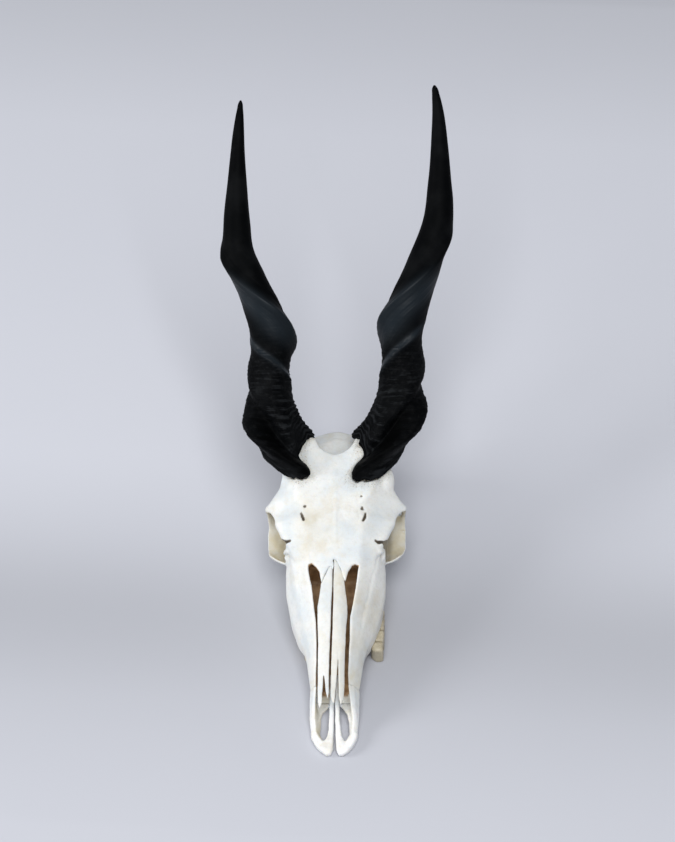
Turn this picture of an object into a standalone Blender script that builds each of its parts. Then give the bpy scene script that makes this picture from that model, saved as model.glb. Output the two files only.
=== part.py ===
"""Construction model of an eland skull without its lower jaw: metres, +Z up, muzzle towards -Y.

Bone grows in soft blends that no primitive makes. The cranium, the nasal bones and the premaxillae
are therefore modelled as fields: every bone is a named shape, the shapes are blended or carved on
a grid, and the zero surface of the grid becomes the mesh. The horn sheaths and horn cores are
lofts along a twisted axis, and the teeth are bevelled boxes.

The tables are in millimetres in the skull's own frame: X to the animal's left, Y backwards from
the tips of the premaxillae, Z up from the surface that the skull rests on.
"""

import math

import bmesh
import bpy
import numpy as np
import openvdb

MM = 0.001

# Where the object's origin lies in the skull's frame: under the middle of the whole object
ORIGIN = (2.2, 365.4, 0.0)

# Grids, in millimetres, and the share of the grid's faces that each bone keeps
CRANIUM_GRID = 2.0
SMALL_BONE_GRID = 1.0
BAND = 8.0
CRANIUM_SHARE = 0.025
NASAL_SHARE = 0.016
PREMAXILLA_SHARE = 0.022

# The box that holds one half of the cranium
HALF_SPACE = ((0, 50, -6), (126, 440, 214))

# Gaps between neighbouring pieces
SHEATH_GAP = 3.5
CORE_GAP = 2.0
SUTURE_GAP = 1.0
SOCKET_GAP = 0.5

# The face: half sections at distances from the tips, from the midline above, round the side,
# to the midline of the palate
FACE = {
    76: [(0, 46), (17, 46), (24, 41), (31, 30), (28, 16), (21, 12), (13, 14), (0, 14)],
    110: [(0, 66), (20, 65), (29, 56), (36, 38), (32, 19), (23, 14), (17, 17), (0, 17)],
    128: [(0, 75), (21, 73), (32, 62), (41, 42), (37, 19), (26, 14), (20, 20), (0, 21)],
    142: [(0, 82), (23, 80), (35, 68), (46, 44), (48, 18), (32, 15), (25, 23), (0, 24)],
    170: [(0, 96), (27, 93), (43, 77), (57, 50), (57, 22), (35, 18), (29, 27), (0, 28)],
    200: [(0, 108), (31, 105), (50, 88), (64, 58), (59, 22), (36, 18), (30, 28), (0, 29)],
    230: [(0, 119), (34, 117), (55, 101), (64, 74), (59, 25), (36, 19), (30, 29), (0, 30)],
    264: [(0, 129), (37, 127), (52, 112), (50, 80), (52, 30), (36, 22), (29, 31), (0, 32)],
}
FACE_ENDS = (75.2, 264.0)

# The frontal bones and what they roof, in the same kind of half section
FRONTAL = {
    222: [(0, 116), (30, 115), (50, 103), (48, 92), (30, 84), (0, 80)],
    246: [(0, 126), (34, 125), (64, 114), (66, 106), (40, 92), (0, 70)],
    270: [(0, 135), (40, 133), (75, 118), (78, 110), (44, 98), (30, 62), (0, 46)],
    299: [(0, 144), (46, 142), (87, 114), (90, 105), (60, 97), (40, 72), (28, 44), (0, 40)],
    318: [(0, 149), (52, 146), (73, 124), (70, 112), (52, 97), (46, 65), (30, 44), (0, 40)],
    350: [(0, 154), (34, 156), (60, 152), (68, 132), (60, 112), (54, 88), (30, 60), (0, 60)],
    384: [(0, 156), (34, 162), (58, 158), (64, 138), (54, 116), (46, 96), (30, 90), (0, 90)],
}
FRONTAL_ENDS = (222.0, 376.0)
# Plan of the notch between the horns, where the frontal bones end above the braincase
CREST_NOTCH = [(-36, 440), (-33, 376), (-25, 362), (-12, 354), (12, 354), (25, 362), (33, 376), (36, 440)]
CREST_NOTCH_FLOOR = 118.0

# The nasal cavity, which the wall of the face surrounds, and the opening above it
NASAL_CAVITY = {
    60: [(0, 50), (12, 48), (22, 30), (18, 20), (0, 20)],
    110: [(0, 60), (14, 56), (28, 40), (25, 24), (0, 22)],
    150: [(0, 80), (22, 76), (43, 50), (40, 34), (0, 32)],
    190: [(0, 98), (27, 94), (54, 60), (48, 40), (0, 38)],
    225: [(0, 106), (28, 103), (48, 76), (40, 50), (0, 44)],
}
NASAL_CAVITY_ENDS = (50.0, 228.0)
NOSE_OPENING = [
    (-28.4, 213.4), (-32.7, 212.7), (-32.3, 206), (-28.9, 191), (-27.1, 177.5), (-25.2, 162.7),
    (-22.8, 145.3), (-22.1, 125.5), (-22.2, 103.7), (-23, 77), (-23, 40), (17.6, 40), (17.4, 75.7),
    (16.6, 87), (17.7, 103), (18.7, 124), (19.5, 151), (23.2, 165.7), (26.3, 183), (27.4, 193),
    (29.4, 206.6), (30.6, 210.6), (26, 211.6), (22.1, 209.6), (17.4, 202.3), (15, 194), (13, 186),
    (-16.9, 186), (-17.2, 193), (-18.7, 202.4), (-23, 208.7),
]  # fmt: skip
NOSE_OPENING_FLOOR = 50.0

# Half plan of the palate in front of the face, between the premaxillae
PALATE_FRONT = [(-20, 92), (-20, 60), (3, 60), (9, 64), (16, 58), (19, 60), (19.5, 92)]
PALATE_FRONT_HEIGHTS = (11.6, 15.4)

# The nasal bones: plan outlines with their forks, and the height of their ridge
NASAL_PLANS = {
    "nasal_right": [
        (-1.7, 219), (-4.7, 212), (-9.1, 204), (-12.8, 197), (-16.7, 189), (-17.1, 185.5),
        (-18.6, 177), (-21.4, 163), (-21, 147), (-20.4, 124), (-20.5, 102), (-20.7, 64.4),
        (-20.4, 53), (-18, 45.3), (-15.5, 49.4), (-14.4, 62), (-13.8, 76), (-13, 90), (-11.7, 76),
        (-10.2, 62), (-7.9, 53.4), (-6.3, 62), (-6.4, 76), (-6, 100.5), (-5, 123), (-4.1, 145.5),
        (-3.5, 163), (-2.5, 180), (-2.2, 197.5),
    ],
    "nasal_left": [
        (-0.6, 219), (3.5, 214), (8.4, 204), (12.6, 193), (13.1, 187.5), (14.9, 176), (16.5, 161),
        (16.7, 153.5), (14.9, 139), (14.2, 123.5), (13.3, 101), (12.9, 75.7), (12.6, 64), (11.7, 55),
        (8, 46.3), (5.9, 58.5), (5.6, 70), (5.5, 91), (5.2, 108), (4, 91), (3.2, 79), (2.5, 70),
        (1.5, 58.5), (0.2, 48.3), (-2.4, 51.7), (-4, 58.6), (-3.9, 81.6), (-3.6, 101), (-2.5, 123),
        (-1.8, 146), (-1.3, 163), (-1, 180), (-1, 197),
    ],
}  # fmt: skip
NASAL_RIDGE = {45: 42, 100: 65, 160: 92.6, 186: 102.2, 219: 114}
NASAL_THICKNESS = 3.2
NASAL_ARCH = 0.012

# The premaxilla: closed sections of its outer limb, and the bars of (x, y, z, radius)
PREMAXILLA_LIMB = {
    14: [(14, 9), (23, 9), (25, 5), (21, 1), (14, 2)],
    35: [(20, 18), (27, 15), (28.5, 9), (25, 4), (21, 5), (20, 11)],
    55: [(19, 32), (26, 28), (30, 19), (27, 10), (23, 11), (23, 20), (18, 29)],
    75: [(17, 46), (24, 41), (31, 30), (28, 16), (22, 14), (24, 30), (16, 43)],
}
PREMAXILLA_LIMB_ENDS = (10.0, 76.0)
PREMAXILLA_TIP = [(21, 14, 6, 6), (14, 4, 6, 6), (8.5, 1.5, 5.5, 5)]
PREMAXILLA_BAR = [(3.6, 98, 31, 2.4), (4.6, 70, 23, 2.8), (5.8, 40, 13.5, 3.2), (8, 10, 6.5, 4.6)]

# The horns: the axis starts at the root and rises backwards; s runs along that rise.
# axis: distance from the midline; girth: radius without keels; turn: angle of the main keel from
# the inner side, over the front; keel and rib: heights of the two keels; rib_turn: the rib's angle
HORN_RISE = math.radians(36.0)
HORN_ROOT = np.array([0.0, 356.0, 144.0])
HORNS = {
    "right": {
        "side": -1,
        "tip": 456,
        "axis": {-30: 50, 0: 66, 25: 73, 50: 77.5, 80: 84.5, 110: 85.4, 140: 81, 170: 85, 200: 95.5,
                 230: 109.8, 260: 120.8, 300: 124, 350: 123.2, 400: 121.8, 456: 118},
        "girth": {-30: 25, 0: 27, 25: 28, 50: 26.6, 80: 26.6, 110: 26.8, 150: 25.3, 180: 25.8,
                  210: 23.3, 240: 22.2, 270: 18.7, 300: 17.1, 330: 14.4, 360: 11.6, 390: 9.1,
                  420: 6.8, 445: 3.9, 453: 2.5, 456: 1},
        "turn": {-30: 45, 0: 95, 25: 140, 55: 178, 80: 222, 110: 275, 150: 355, 172: 388, 185: 413,
                 201: 447, 217: 478, 250: 532, 300: 590, 456: 680},
        "keel": {-30: 12, 0: 16, 25: 17, 45: 16, 60: 10, 80: 7, 110: 6, 150: 8, 180: 6, 210: 4,
                 240: 5, 260: 6, 280: 3.5, 310: 1, 330: 0},
        "rib_turn": {-30: -80, 0: -55, 25: -25, 60: -15, 85: -8, 95: 5, 101: 25, 110: 55, 121: 88,
                     131: 120, 140: 150, 152: 185, 175: 240, 220: 320},
        "rib": {-30: 8, 12: 17, 25: 21, 45: 10, 70: 4, 90: 3, 110: 5, 121: 5.5, 133: 4, 145: 2,
                160: 1, 190: 0},
    },
    "left": {
        "side": 1,
        "tip": 472,
        "axis": {-35: 36, 0: 57, 25: 66, 50: 74, 80: 82.6, 110: 87.6, 140: 86, 170: 87.6, 200: 97.5,
                 230: 110, 260: 120.3, 300: 133.3, 350: 136, 400: 136, 440: 134.4, 472: 130.3},
        "girth": {-35: 25, 0: 27, 25: 28, 50: 27, 80: 26.5, 110: 27.6, 150: 25.6, 180: 28.2,
                  210: 26, 240: 23.4, 270: 20.8, 300: 19.2, 330: 16.8, 360: 13.8, 390: 11.4,
                  420: 9, 445: 6.6, 460: 4.8, 469: 3, 472: 1},
        "turn": {-35: 45, 0: 95, 25: 140, 60: 178, 80: 215, 110: 270, 150: 340, 180: 390, 210: 440,
                 270: 530, 310: 590, 472: 680},
        "keel": {-35: 11, 0: 16, 25: 17, 50: 17, 70: 11, 85: 7, 110: 6, 150: 6, 200: 6, 240: 5,
                 270: 5, 300: 2, 330: 0},
        "rib_turn": {-35: -80, 0: -55, 25: -25, 60: -15, 90: -8, 101: 5, 108: 25, 120: 55, 134: 88,
                     146: 120, 158: 150, 172: 185, 195: 240, 220: 300},
        "rib": {-35: 8, 12: 17, 25: 22, 45: 10, 70: 4, 96: 3, 118: 5, 134: 5.5, 148: 4, 160: 2,
                176: 1, 200: 0},
    },
}  # fmt: skip
HORN_GROOVE = {-40: 7, 0: 9, 30: 10, 60: 7, 90: 4, 130: 2, 200: 1.5, 280: 0}
HORN_SWAY = {-40: 0, 30: 2, 60: 6, 100: 8, 220: 8, 280: 3, 330: 0}
KEEL_WIDTH = {-40: 0.46, 200: 0.42}
RIB_WIDTH = 0.38
GROOVE_PLACE, GROOVE_WIDTH = 0.85, 0.36
# Where the sheath's rim lies along s, by the angle round the horn from its inner side
HORN_RIM = {0: 24, 18: 20, 34: 8, 48: -11, 64: -25, 85: -28, 110: -24, 140: -17, 175: -6, 215: 4, 260: 12,
            300: 17, 335: 23, 360: 24}  # fmt: skip
RIM_FADE = 70.0
SHEATH_SIDES = 22
BASE_RINGS = 8
UPPER_RINGS = 24
# The hollow inside a sheath, as shares of the girth and of the main keel, and the core in it
HOLLOW_GIRTH = {-40: 0.62, 60: 0.58, 160: 0.52, 250: 0.42}
HOLLOW_KEEL = 0.2
HOLLOW_STATIONS = (240, 180, 120, 70, 40, 20, 0)
CORE_STATIONS = (20, 40, 70, 120, 180, 232)
CORE_SIDES = 12
STUMP_END = 50.0

# The cheek teeth: front and back, outer edge on the animal's left, and width, of each
TEETH = {
    "premolar_2": (136, 150, 59.5, 16),
    "premolar_3": (151, 167, 61.0, 18),
    "premolar_4": (168, 185, 61.5, 20),
    "molar_1": (186, 206, 62.0, 21),
    "molar_2": (207, 230, 62.0, 22),
    "molar_3": (231, 256, 60.0, 21),
}
TOOTH_ROOT = 27.0
TOOTH_BEVEL = 2.4
# The tooth rows lie further to the left than the rest of the skull does
PALATE_SHIFT = 9.5


def eased(table, at):
    """A smooth curve through a table of places and values."""
    knots = np.array(sorted(table), float)
    values = np.array([table[knot] for knot in sorted(table)], float)
    slopes = np.gradient(values, knots)
    at = np.clip(np.asarray(at, float), knots[0], knots[-1])
    i = np.clip(np.searchsorted(knots, at) - 1, 0, len(knots) - 2)
    span = knots[i + 1] - knots[i]
    t = (at - knots[i]) / span
    start = (2 * t**3 - 3 * t**2 + 1) * values[i] + (t**3 - 2 * t**2 + t) * span * slopes[i]
    return start + (3 * t**2 - 2 * t**3) * values[i + 1] + (t**3 - t**2) * span * slopes[i + 1]


def step_between(low, high, value):
    """0 below low, 1 above high, and a smooth rise between them."""
    share = np.clip((value - low) / (high - low), 0, 1)
    return share * share * (3 - 2 * share)


def metres(points):
    """Points of the skull's frame as metres about the object's origin."""
    return (np.asarray(points, float) - ORIGIN) * MM


# Fields


def smooth_min(a, b, blend):
    """The lesser of two fields, rounded over the given blend."""
    if blend <= 0:
        return np.minimum(a, b)
    share = np.clip(blend - np.abs(a - b), 0, None) / blend
    return np.minimum(a, b) - share * share * blend / 4


class Field:
    """Distances to a bone's surface on a grid: negative inside the bone, positive outside."""

    def __init__(self, low, high, step):
        self.step = step
        self.axes = [np.arange(a, b + step, step, dtype=np.float32) for a, b in zip(low, high)]
        self.value = np.full([len(axis) for axis in self.axes], BAND, np.float32)

    def window(self, low, high, margin):
        """The part of the grid near a box, and its coordinates."""
        part = []
        for axis, a, b in zip(self.axes, low, high):
            start, stop = np.searchsorted(axis, [a - margin, b + margin])
            part.append(slice(int(start), int(stop)))
        x, y, z = (axis[cut] for axis, cut in zip(self.axes, part))
        return tuple(part), (x[:, None, None], y[None, :, None], z[None, None, :])

    def add(self, shape, blend=0.0):
        low, high, distance = shape
        part, places = self.window(low, high, BAND + blend)
        if self.value[part].size:
            self.value[part] = smooth_min(self.value[part], distance(*places), blend)

    def carve(self, shape, blend=0.0, gap=0.0):
        low, high, distance = shape
        part, places = self.window(low, high, BAND + blend + gap)
        if self.value[part].size:
            self.value[part] = -smooth_min(-self.value[part], distance(*places) - gap, blend)

    def soften(self, rounds):
        """Averages each value with its neighbours, which rounds edges."""
        value = np.clip(self.value, -BAND, BAND)
        for _ in range(rounds):
            for axis in range(3):
                padded = np.pad(value, [(1, 1) if i == axis else (0, 0) for i in range(3)], "edge")
                count = value.shape[axis]
                before = padded.take(range(count), axis)
                after = padded.take(range(2, count + 2), axis)
                value = 0.25 * before + 0.5 * value + 0.25 * after
        self.value = value

    def mirrored(self):
        """Both halves, from a half whose grid starts at the midline."""
        both = Field((0, 0, 0), (0, 0, 0), self.step)
        both.axes = [np.concatenate([-self.axes[0][:0:-1], self.axes[0]])] + self.axes[1:]
        both.value = np.concatenate([self.value[:0:-1], self.value])
        return both

    def surface(self):
        """The points and four-sided faces of the zero surface, in the skull's frame."""
        grid = openvdb.FloatGrid(background=BAND)
        grid.copyFromArray(np.ascontiguousarray(np.clip(self.value, -BAND, BAND)))
        points, quads = grid.convertToQuads(isovalue=0.0)
        return points * self.step + [axis[0] for axis in self.axes], quads


def ellipsoid(centre, radii):
    def distance(x, y, z):
        u, v, w = ((p - c) / r for p, c, r in zip((x, y, z), centre, radii))
        near = np.sqrt(u * u + v * v + w * w)
        slope = np.sqrt((u / radii[0]) ** 2 + (v / radii[1]) ** 2 + (w / radii[2]) ** 2)
        return near * (near - 1) / np.maximum(slope, 1e-6)

    low = [c - r for c, r in zip(centre, radii)]
    high = [c + r for c, r in zip(centre, radii)]
    return low, high, distance


def bar(knots, flatten=(1.0, 1.0, 1.0)):
    """A bar through (x, y, z, radius) knots, thinner along the axes whose flatten is above 1."""
    knots = np.array(knots, float)
    scale = np.array(flatten, float)
    ends, radii = knots[:, :3] * scale, knots[:, 3]

    def distance(x, y, z):
        place = (x * scale[0], y * scale[1], z * scale[2])
        nearest = np.float32(1e9)
        for start, end, r0, r1 in zip(ends[:-1], ends[1:], radii[:-1], radii[1:]):
            along = end - start
            away = [p - q for p, q in zip(place, start)]
            share = sum(a * b for a, b in zip(away, along)) / (along @ along)
            share = np.clip(share, 0, 1)
            gap = np.sqrt(sum((a - share * b) ** 2 for a, b in zip(away, along)))
            nearest = np.minimum(nearest, gap - (r0 + (r1 - r0) * share))
        return nearest / scale.max()

    reach = radii.max()
    return knots[:, :3].min(axis=0) - reach, knots[:, :3].max(axis=0) + reach, distance


def polygon_distance(across, up, corners):
    """Distance from places of a plane to a polygon's edge, negative inside it."""
    nearest = np.full(np.broadcast(across, up).shape, 1e9, np.float32)
    inside = np.zeros(nearest.shape, bool)
    for (ax, ay), (bx, by) in zip(corners, np.roll(corners, -1, axis=0)):
        ex, ey = bx - ax, by - ay
        wx, wy = across - ax, up - ay
        share = np.clip((wx * ex + wy * ey) / max(ex * ex + ey * ey, 1e-9), 0, 1)
        nearest = np.minimum(nearest, (wx - ex * share) ** 2 + (wy - ey * share) ** 2)
        if abs(ey) > 1e-9:
            inside ^= ((ay > up) != (by > up)) & (across < ax + (up - ay) * ex / ey)
    return np.where(inside, -1, 1) * np.sqrt(nearest)


def refined(section, count):
    """The section with points added halfway along its longest edges, up to the given count."""
    section = [tuple(map(float, point)) for point in section]
    while len(section) < count:
        lengths = [math.dist(a, b) for a, b in zip(section, section[1:])]
        i = lengths.index(max(lengths))
        a, b = section[i], section[i + 1]
        section.insert(i + 1, ((a[0] + b[0]) / 2, (a[1] + b[1]) / 2))
    return section


def loft(table, ends, rounding=6.0, half=True):
    """A solid through sections at stations along Y, with rounded ends. A half section reaches
    from the midline to the midline, and is carried past it so that the midline is no edge."""
    stations = sorted(table)
    count = max(len(section) for section in table.values())
    rows = np.array([refined(table[station], count) for station in stations])
    past = 40.0

    def section_at(y):
        places = [[np.interp(y, stations, row) for row in point.T] for point in rows.swapaxes(0, 1)]
        section = np.array(places)
        if half:
            section = np.vstack([[-past, section[0, 1]], section, [-past, section[-1, 1]]])
        return section

    def distance(x, y, z):
        across = np.abs(x[:, 0, :]) if half else x[:, 0, :]
        layers = [polygon_distance(across, z[:, 0, :], section_at(float(at))) for at in y[0, :, 0]]
        beyond = np.maximum(ends[0] - y, y - ends[1])
        return -smooth_min(-np.stack(layers, axis=1), -beyond, rounding)

    low = (-rows[..., 0].max() if half else rows[..., 0].min(), ends[0], rows[..., 1].min())
    high = (rows[..., 0].max(), ends[1], rows[..., 1].max())
    return low, high, distance


def column(plan, bottom, top):
    """A plan outline in X and Y, raised from bottom to top."""
    plan = np.array(plan, float)

    def distance(x, y, z):
        flat = polygon_distance(x[:, :, 0], y[:, :, 0], plan)[:, :, None]
        return np.maximum(flat, np.maximum(bottom - z, z - top))

    return (*plan.min(axis=0), bottom), (*plan.max(axis=0), top), distance


# Horns


def lump(angle, width):
    """A rounded ridge of height 1 at angle 0."""
    angle = (angle + math.pi) % (2 * math.pi) - math.pi
    return np.exp(-np.abs(angle / width) ** 1.6)


def horn_radius(horn, s, angle):
    """The sheath's outer radius: round, with a main keel, a groove above it and a lesser rib."""
    from_keel = angle - np.radians(eased(horn["turn"], s))
    from_rib = angle - np.radians(eased(horn["rib_turn"], s))
    radius = eased(horn["girth"], s) + eased(horn["keel"], s) * lump(from_keel, eased(KEEL_WIDTH, s))
    radius += eased(horn["rib"], s) * lump(from_rib, RIB_WIDTH)
    return radius - eased(HORN_GROOVE, s) * lump(from_keel + GROOVE_PLACE, GROOVE_WIDTH)


def hollow_radius(horn, s, angle):
    """The radius of the hollow inside the sheath, which bulges a little under the main keel."""
    from_keel = angle - np.radians(eased(horn["turn"], s)) - 0.25
    return eased(HOLLOW_GIRTH, s) * eased(horn["girth"], s) + HOLLOW_KEEL * eased(horn["keel"], s) * lump(
        from_keel, 0.6
    )


def horn_frame(horn):
    """The directions of a horn: along its rise, inwards to the midline, and out of its front."""
    along = np.array([0, math.cos(HORN_RISE), math.sin(HORN_RISE)])
    inwards = np.array([-horn["side"], 0.0, 0.0])
    front = np.array([0, -math.sin(HORN_RISE), math.cos(HORN_RISE)])
    return along, inwards, front


def horn_axis(horn, s):
    """The axis at s, as distances inwards and to the front of the root's line."""
    sway = eased(HORN_SWAY, s) * np.sin(np.radians(eased(horn["turn"], s)))
    return -eased(horn["axis"], s), sway


def horn_point(horn, s, angle, radius):
    along, inwards, front = horn_frame(horn)
    s = np.asarray(s, float)
    inner, sway = horn_axis(horn, s)
    across = (inner + radius * np.cos(angle))[..., None]
    out = (sway + radius * np.sin(angle))[..., None]
    return HORN_ROOT + s[..., None] * along + across * inwards + out * front


def horn_coordinates(horn, x, y, z):
    """s, angle and distance from the axis of places in the skull's frame."""
    along, inwards, front = horn_frame(horn)
    away = [p - q for p, q in zip((x, y, z), HORN_ROOT)]
    s = sum(a * b for a, b in zip(away, along))
    inner, sway = horn_axis(horn, s)
    across = sum(a * b for a, b in zip(away, inwards)) - inner
    out = sum(a * b for a, b in zip(away, front)) - sway
    return s, np.arctan2(out, across), np.hypot(out, across)


def rim_place(angle):
    return eased(HORN_RIM, np.degrees(angle) % 360)


def horn_base_shapes(horn):
    """The sheath's lower part as a solid, and the stump of the core inside it."""
    low = np.array([12 if horn["side"] > 0 else -124, 300, 90])
    high = low + [112, 150, 110]

    def sheath(x, y, z):
        s, angle, away = horn_coordinates(horn, x, y, z)
        return np.maximum(away - horn_radius(horn, s, angle), rim_place(angle) - s)

    def stump(x, y, z):
        s, angle, away = horn_coordinates(horn, x, y, z)
        core = away - hollow_radius(horn, s, angle) + CORE_GAP
        return -smooth_min(-core, -np.maximum(-32 - s, s - STUMP_END), 8)

    return (low, high, sheath), (low, high, stump)


def closed_loft(rings, name):
    """A mesh through rings of points, closed by a point in front of the first and last rings."""
    count, sides = len(rings), len(rings[0])
    points = [point for ring in rings for point in ring]
    points += [np.mean(rings[0], axis=0), np.mean(rings[-1], axis=0)]
    faces = []
    for i in range(count - 1):
        for j in range(sides):
            k = (j + 1) % sides
            faces.append((i * sides + j, i * sides + k, (i + 1) * sides + k, (i + 1) * sides + j))
    last = (count - 1) * sides
    for j in range(sides):
        k = (j + 1) % sides
        faces.append((k, j, count * sides))
        faces.append((last + j, last + k, count * sides + 1))
    mesh = bpy.data.meshes.new(name)
    mesh.from_pydata(metres(points).tolist(), [], faces)
    face_outwards(mesh)
    return mesh


def face_outwards(mesh):
    made = bmesh.new()
    made.from_mesh(mesh)
    bmesh.ops.recalc_face_normals(made, faces=made.faces)
    made.to_mesh(mesh)
    made.free()


def ring_angles(horn, s, sides):
    """Angles round a ring that follow the main keel, closest together on it and in the groove."""
    spread = np.linspace(0, 2 * math.pi, sides, endpoint=False)
    crowded = spread - 0.35 * np.sin(spread)
    return crowded + math.radians(float(eased(horn["turn"], s)))


def sheath_rings(horn):
    """Rings from the bottom of the hollow, out over the rim and up the outside to the tip."""
    rings = []
    angles = ring_angles(horn, 0.0, SHEATH_SIDES)
    for s in HOLLOW_STATIONS:
        place = rim_share(angles, s)
        rings.append(horn_point(horn, place, angles, hollow_radius(horn, place, angles)))
    base = np.linspace(0, RIM_FADE, BASE_RINGS, endpoint=False)
    for s in (*base, *np.linspace(RIM_FADE, horn["tip"], UPPER_RINGS)):
        angles = ring_angles(horn, s, SHEATH_SIDES)
        place = rim_share(angles, s)
        rings.append(horn_point(horn, place, angles, horn_radius(horn, place, angles)))
    return rings


def rim_share(angles, s):
    """Places along the horn for a ring that starts on the wavy rim and is level from RIM_FADE."""
    rim = rim_place(angles)
    if s >= RIM_FADE:
        return np.full(len(angles), float(s))
    return rim + (RIM_FADE - rim) * (s / RIM_FADE)


def core_mesh(horn, name):
    """The core above the stump, a little thinner than the stump that it grows from."""
    rings = []
    angles = np.linspace(0, 2 * math.pi, CORE_SIDES, endpoint=False)
    for s in CORE_STATIONS:
        radius = hollow_radius(horn, s, angles) - 1.8 * CORE_GAP
        rings.append(horn_point(horn, np.full(CORE_SIDES, float(s)), angles, radius))
    return closed_loft(rings, name)


# Bones


def braincase(field):
    field.add(ellipsoid((0, 362, 90), (57, 54, 43)), 6)
    field.add(ellipsoid((0, 390, 86), (60, 25, 38)), 8)
    field.add(bar([(0, 408, 112, 9), (30, 402, 106, 9), (53, 392, 84, 8)]), 8)


def cheek_bowl(field):
    """The cheekbone's bowl under the eye, with the orbit carved out of it."""
    field.add(ellipsoid((58, 277, 80), (36, 36, 31)), 8)
    field.carve(ellipsoid((83, 276, 99), (39, 30, 34)), 3)


def cheek_arch(field):
    """The bar behind the orbit and the arch that runs back to the ear."""
    field.add(bar([(87, 299, 106, 5), (85, 303, 88, 5), (82, 300, 66, 6)], (1.2, 1, 1)), 4)
    arch = [(76, 270, 56, 7), (83, 292, 60, 7), (80, 318, 66, 6), (72, 345, 72, 6), (58, 372, 80, 8)]
    field.add(bar(arch, (1.6, 1, 1)), 5)


def skull_base(field):
    field.add(bar([(0, 255, 42, 12), (0, 330, 48, 15), (0, 400, 44, 16)], (1, 1, 1.2)), 8)
    field.add(ellipsoid((21, 408, 50), (13, 13, 17)), 5)
    field.add(ellipsoid((27, 366, 43), (13, 16, 16)), 4)
    field.add(bar([(48, 392, 60, 13), (46, 396, 30, 9), (44, 394, 5.6, 6)], (1, 1.6, 1)), 6)
    field.add(bar([(22, 262, 34, 5), (22, 298, 30, 5), (20, 320, 44, 6)], (2.0, 1, 1)), 5)


def brain_space(field):
    field.carve(ellipsoid((0, 358, 90), (44, 42, 32)), 2)
    field.carve(bar([(0, 375, 74, 14), (0, 440, 60, 15)]), 3)


def maxilla_hollow(field):
    """The long hollow beside the nasal bones."""
    field.carve(bar([(48, 232, 118, 3), (49, 190, 94, 5), (36, 140, 76, 4), (29, 100, 58, 3)]), 10)


def palate_front(field):
    """The thin plate of the palate that closes the palatine fissure behind."""
    field.add(column(PALATE_FRONT, *PALATE_FRONT_HEIGHTS), 2)


def half_cranium(step):
    """One half of the cranium, from the midline outwards."""
    roof = Field(*HALF_SPACE, step)
    roof.add(loft(FRONTAL, FRONTAL_ENDS))
    roof.carve(column(CREST_NOTCH, CREST_NOTCH_FLOOR, 190), 6)
    roof.soften(round(8 / step))
    field = Field(*HALF_SPACE, step)
    field.add(loft(FACE, FACE_ENDS))
    braincase(field)
    maxilla_hollow(field)
    field.soften(round(14 / step))
    cheek_bowl(field)
    field.value = smooth_min(field.value, roof.value, 6)
    cheek_arch(field)
    skull_base(field)
    field.carve(loft(NASAL_CAVITY, NASAL_CAVITY_ENDS), 2)
    palate_front(field)
    brain_space(field)
    return field


def cranium_field(step):
    field = half_cranium(step).mirrored()
    field.carve(column(NOSE_OPENING, NOSE_OPENING_FLOOR, 140), 1)
    for plan in NASAL_PLANS.values():
        field.carve(nasal_plate(plan), 0, SUTURE_GAP)
    for horn in HORNS.values():
        sheath, stump = horn_base_shapes(horn)
        field.carve(sheath, 0, SHEATH_GAP)
        field.add(stump, 2)
    field.soften(1)
    return field


def shift_palate(points):
    """Moves the tooth rows and the palate over to the animal's left."""
    low = 1 - step_between(10, 34, points[:, 2])
    along = step_between(112, 140, points[:, 1]) * (1 - step_between(262, 300, points[:, 1]))
    points[:, 0] += PALATE_SHIFT * low * along
    return points


def nasal_plate(plan):
    """A nasal bone: a thin arched plate in the outline of its plan."""
    plan = np.array(plan, float)
    middle = plan[:, 0].mean()

    def distance(x, y, z):
        flat = polygon_distance(x[:, :, 0], y[:, :, 0], plan)[:, :, None]
        ridge = np.interp(y, list(NASAL_RIDGE), list(NASAL_RIDGE.values()))
        top = ridge + 1.0 - NASAL_ARCH * (x * x + (x - middle) ** 2)
        slab = np.abs(z - top + NASAL_THICKNESS / 2) - NASAL_THICKNESS / 2
        return -smooth_min(-flat, -0.9 * slab, 1.5)

    return (*plan.min(axis=0), 34), (*plan.max(axis=0), 120), distance


def nasal_field(plan, step):
    low, high, _ = nasal_plate(plan)
    field = Field([value - 3 for value in low], [value + 3 for value in high], step)
    field.add(nasal_plate(plan))
    field.soften(1)
    return field


def premaxilla_field(step):
    """The left premaxilla: outer limb, inner bar and the body that joins them in front."""
    field = Field((-2, -8, -4), (38, 108, 52), step)
    field.add(loft(PREMAXILLA_LIMB, PREMAXILLA_LIMB_ENDS, 2.0, half=False))
    field.add(bar(PREMAXILLA_TIP, (1, 1, 1.2)), 4)
    field.add(bar(PREMAXILLA_BAR), 3)
    field.soften(1)
    return field


# Objects


def material(name, colour, roughness):
    made = bpy.data.materials.new(name)
    made.use_nodes = True
    shader = made.node_tree.nodes["Principled BSDF"]
    shader.inputs["Base Color"].default_value = (*colour, 1)
    shader.inputs["Roughness"].default_value = roughness
    shader.inputs["Metallic"].default_value = 0.0
    return made


def mesh_of(points, faces, name):
    mesh = bpy.data.meshes.new(name)
    mesh.from_pydata(metres(points).tolist(), [], np.asarray(faces).tolist())
    face_outwards(mesh)
    return mesh


def place(name, mesh, finish, collection, root):
    made = bpy.data.objects.new(name, mesh)
    collection.objects.link(made)
    mesh.materials.append(finish)
    mesh.shade_smooth()
    made.parent = root
    return made


def helper(name, mesh, collection, root):
    """A cutter or joiner: an object that only shapes another one."""
    made = bpy.data.objects.new(name, mesh)
    collection.objects.link(made)
    made.parent = root
    made.hide_render = True
    made.display_type = "WIRE"
    return made


def thin_out(obj, share):
    """Merges the grid's small faces where the bone is nearly flat."""
    made = obj.modifiers.new("Thin out", "DECIMATE")
    made.ratio = share


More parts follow.
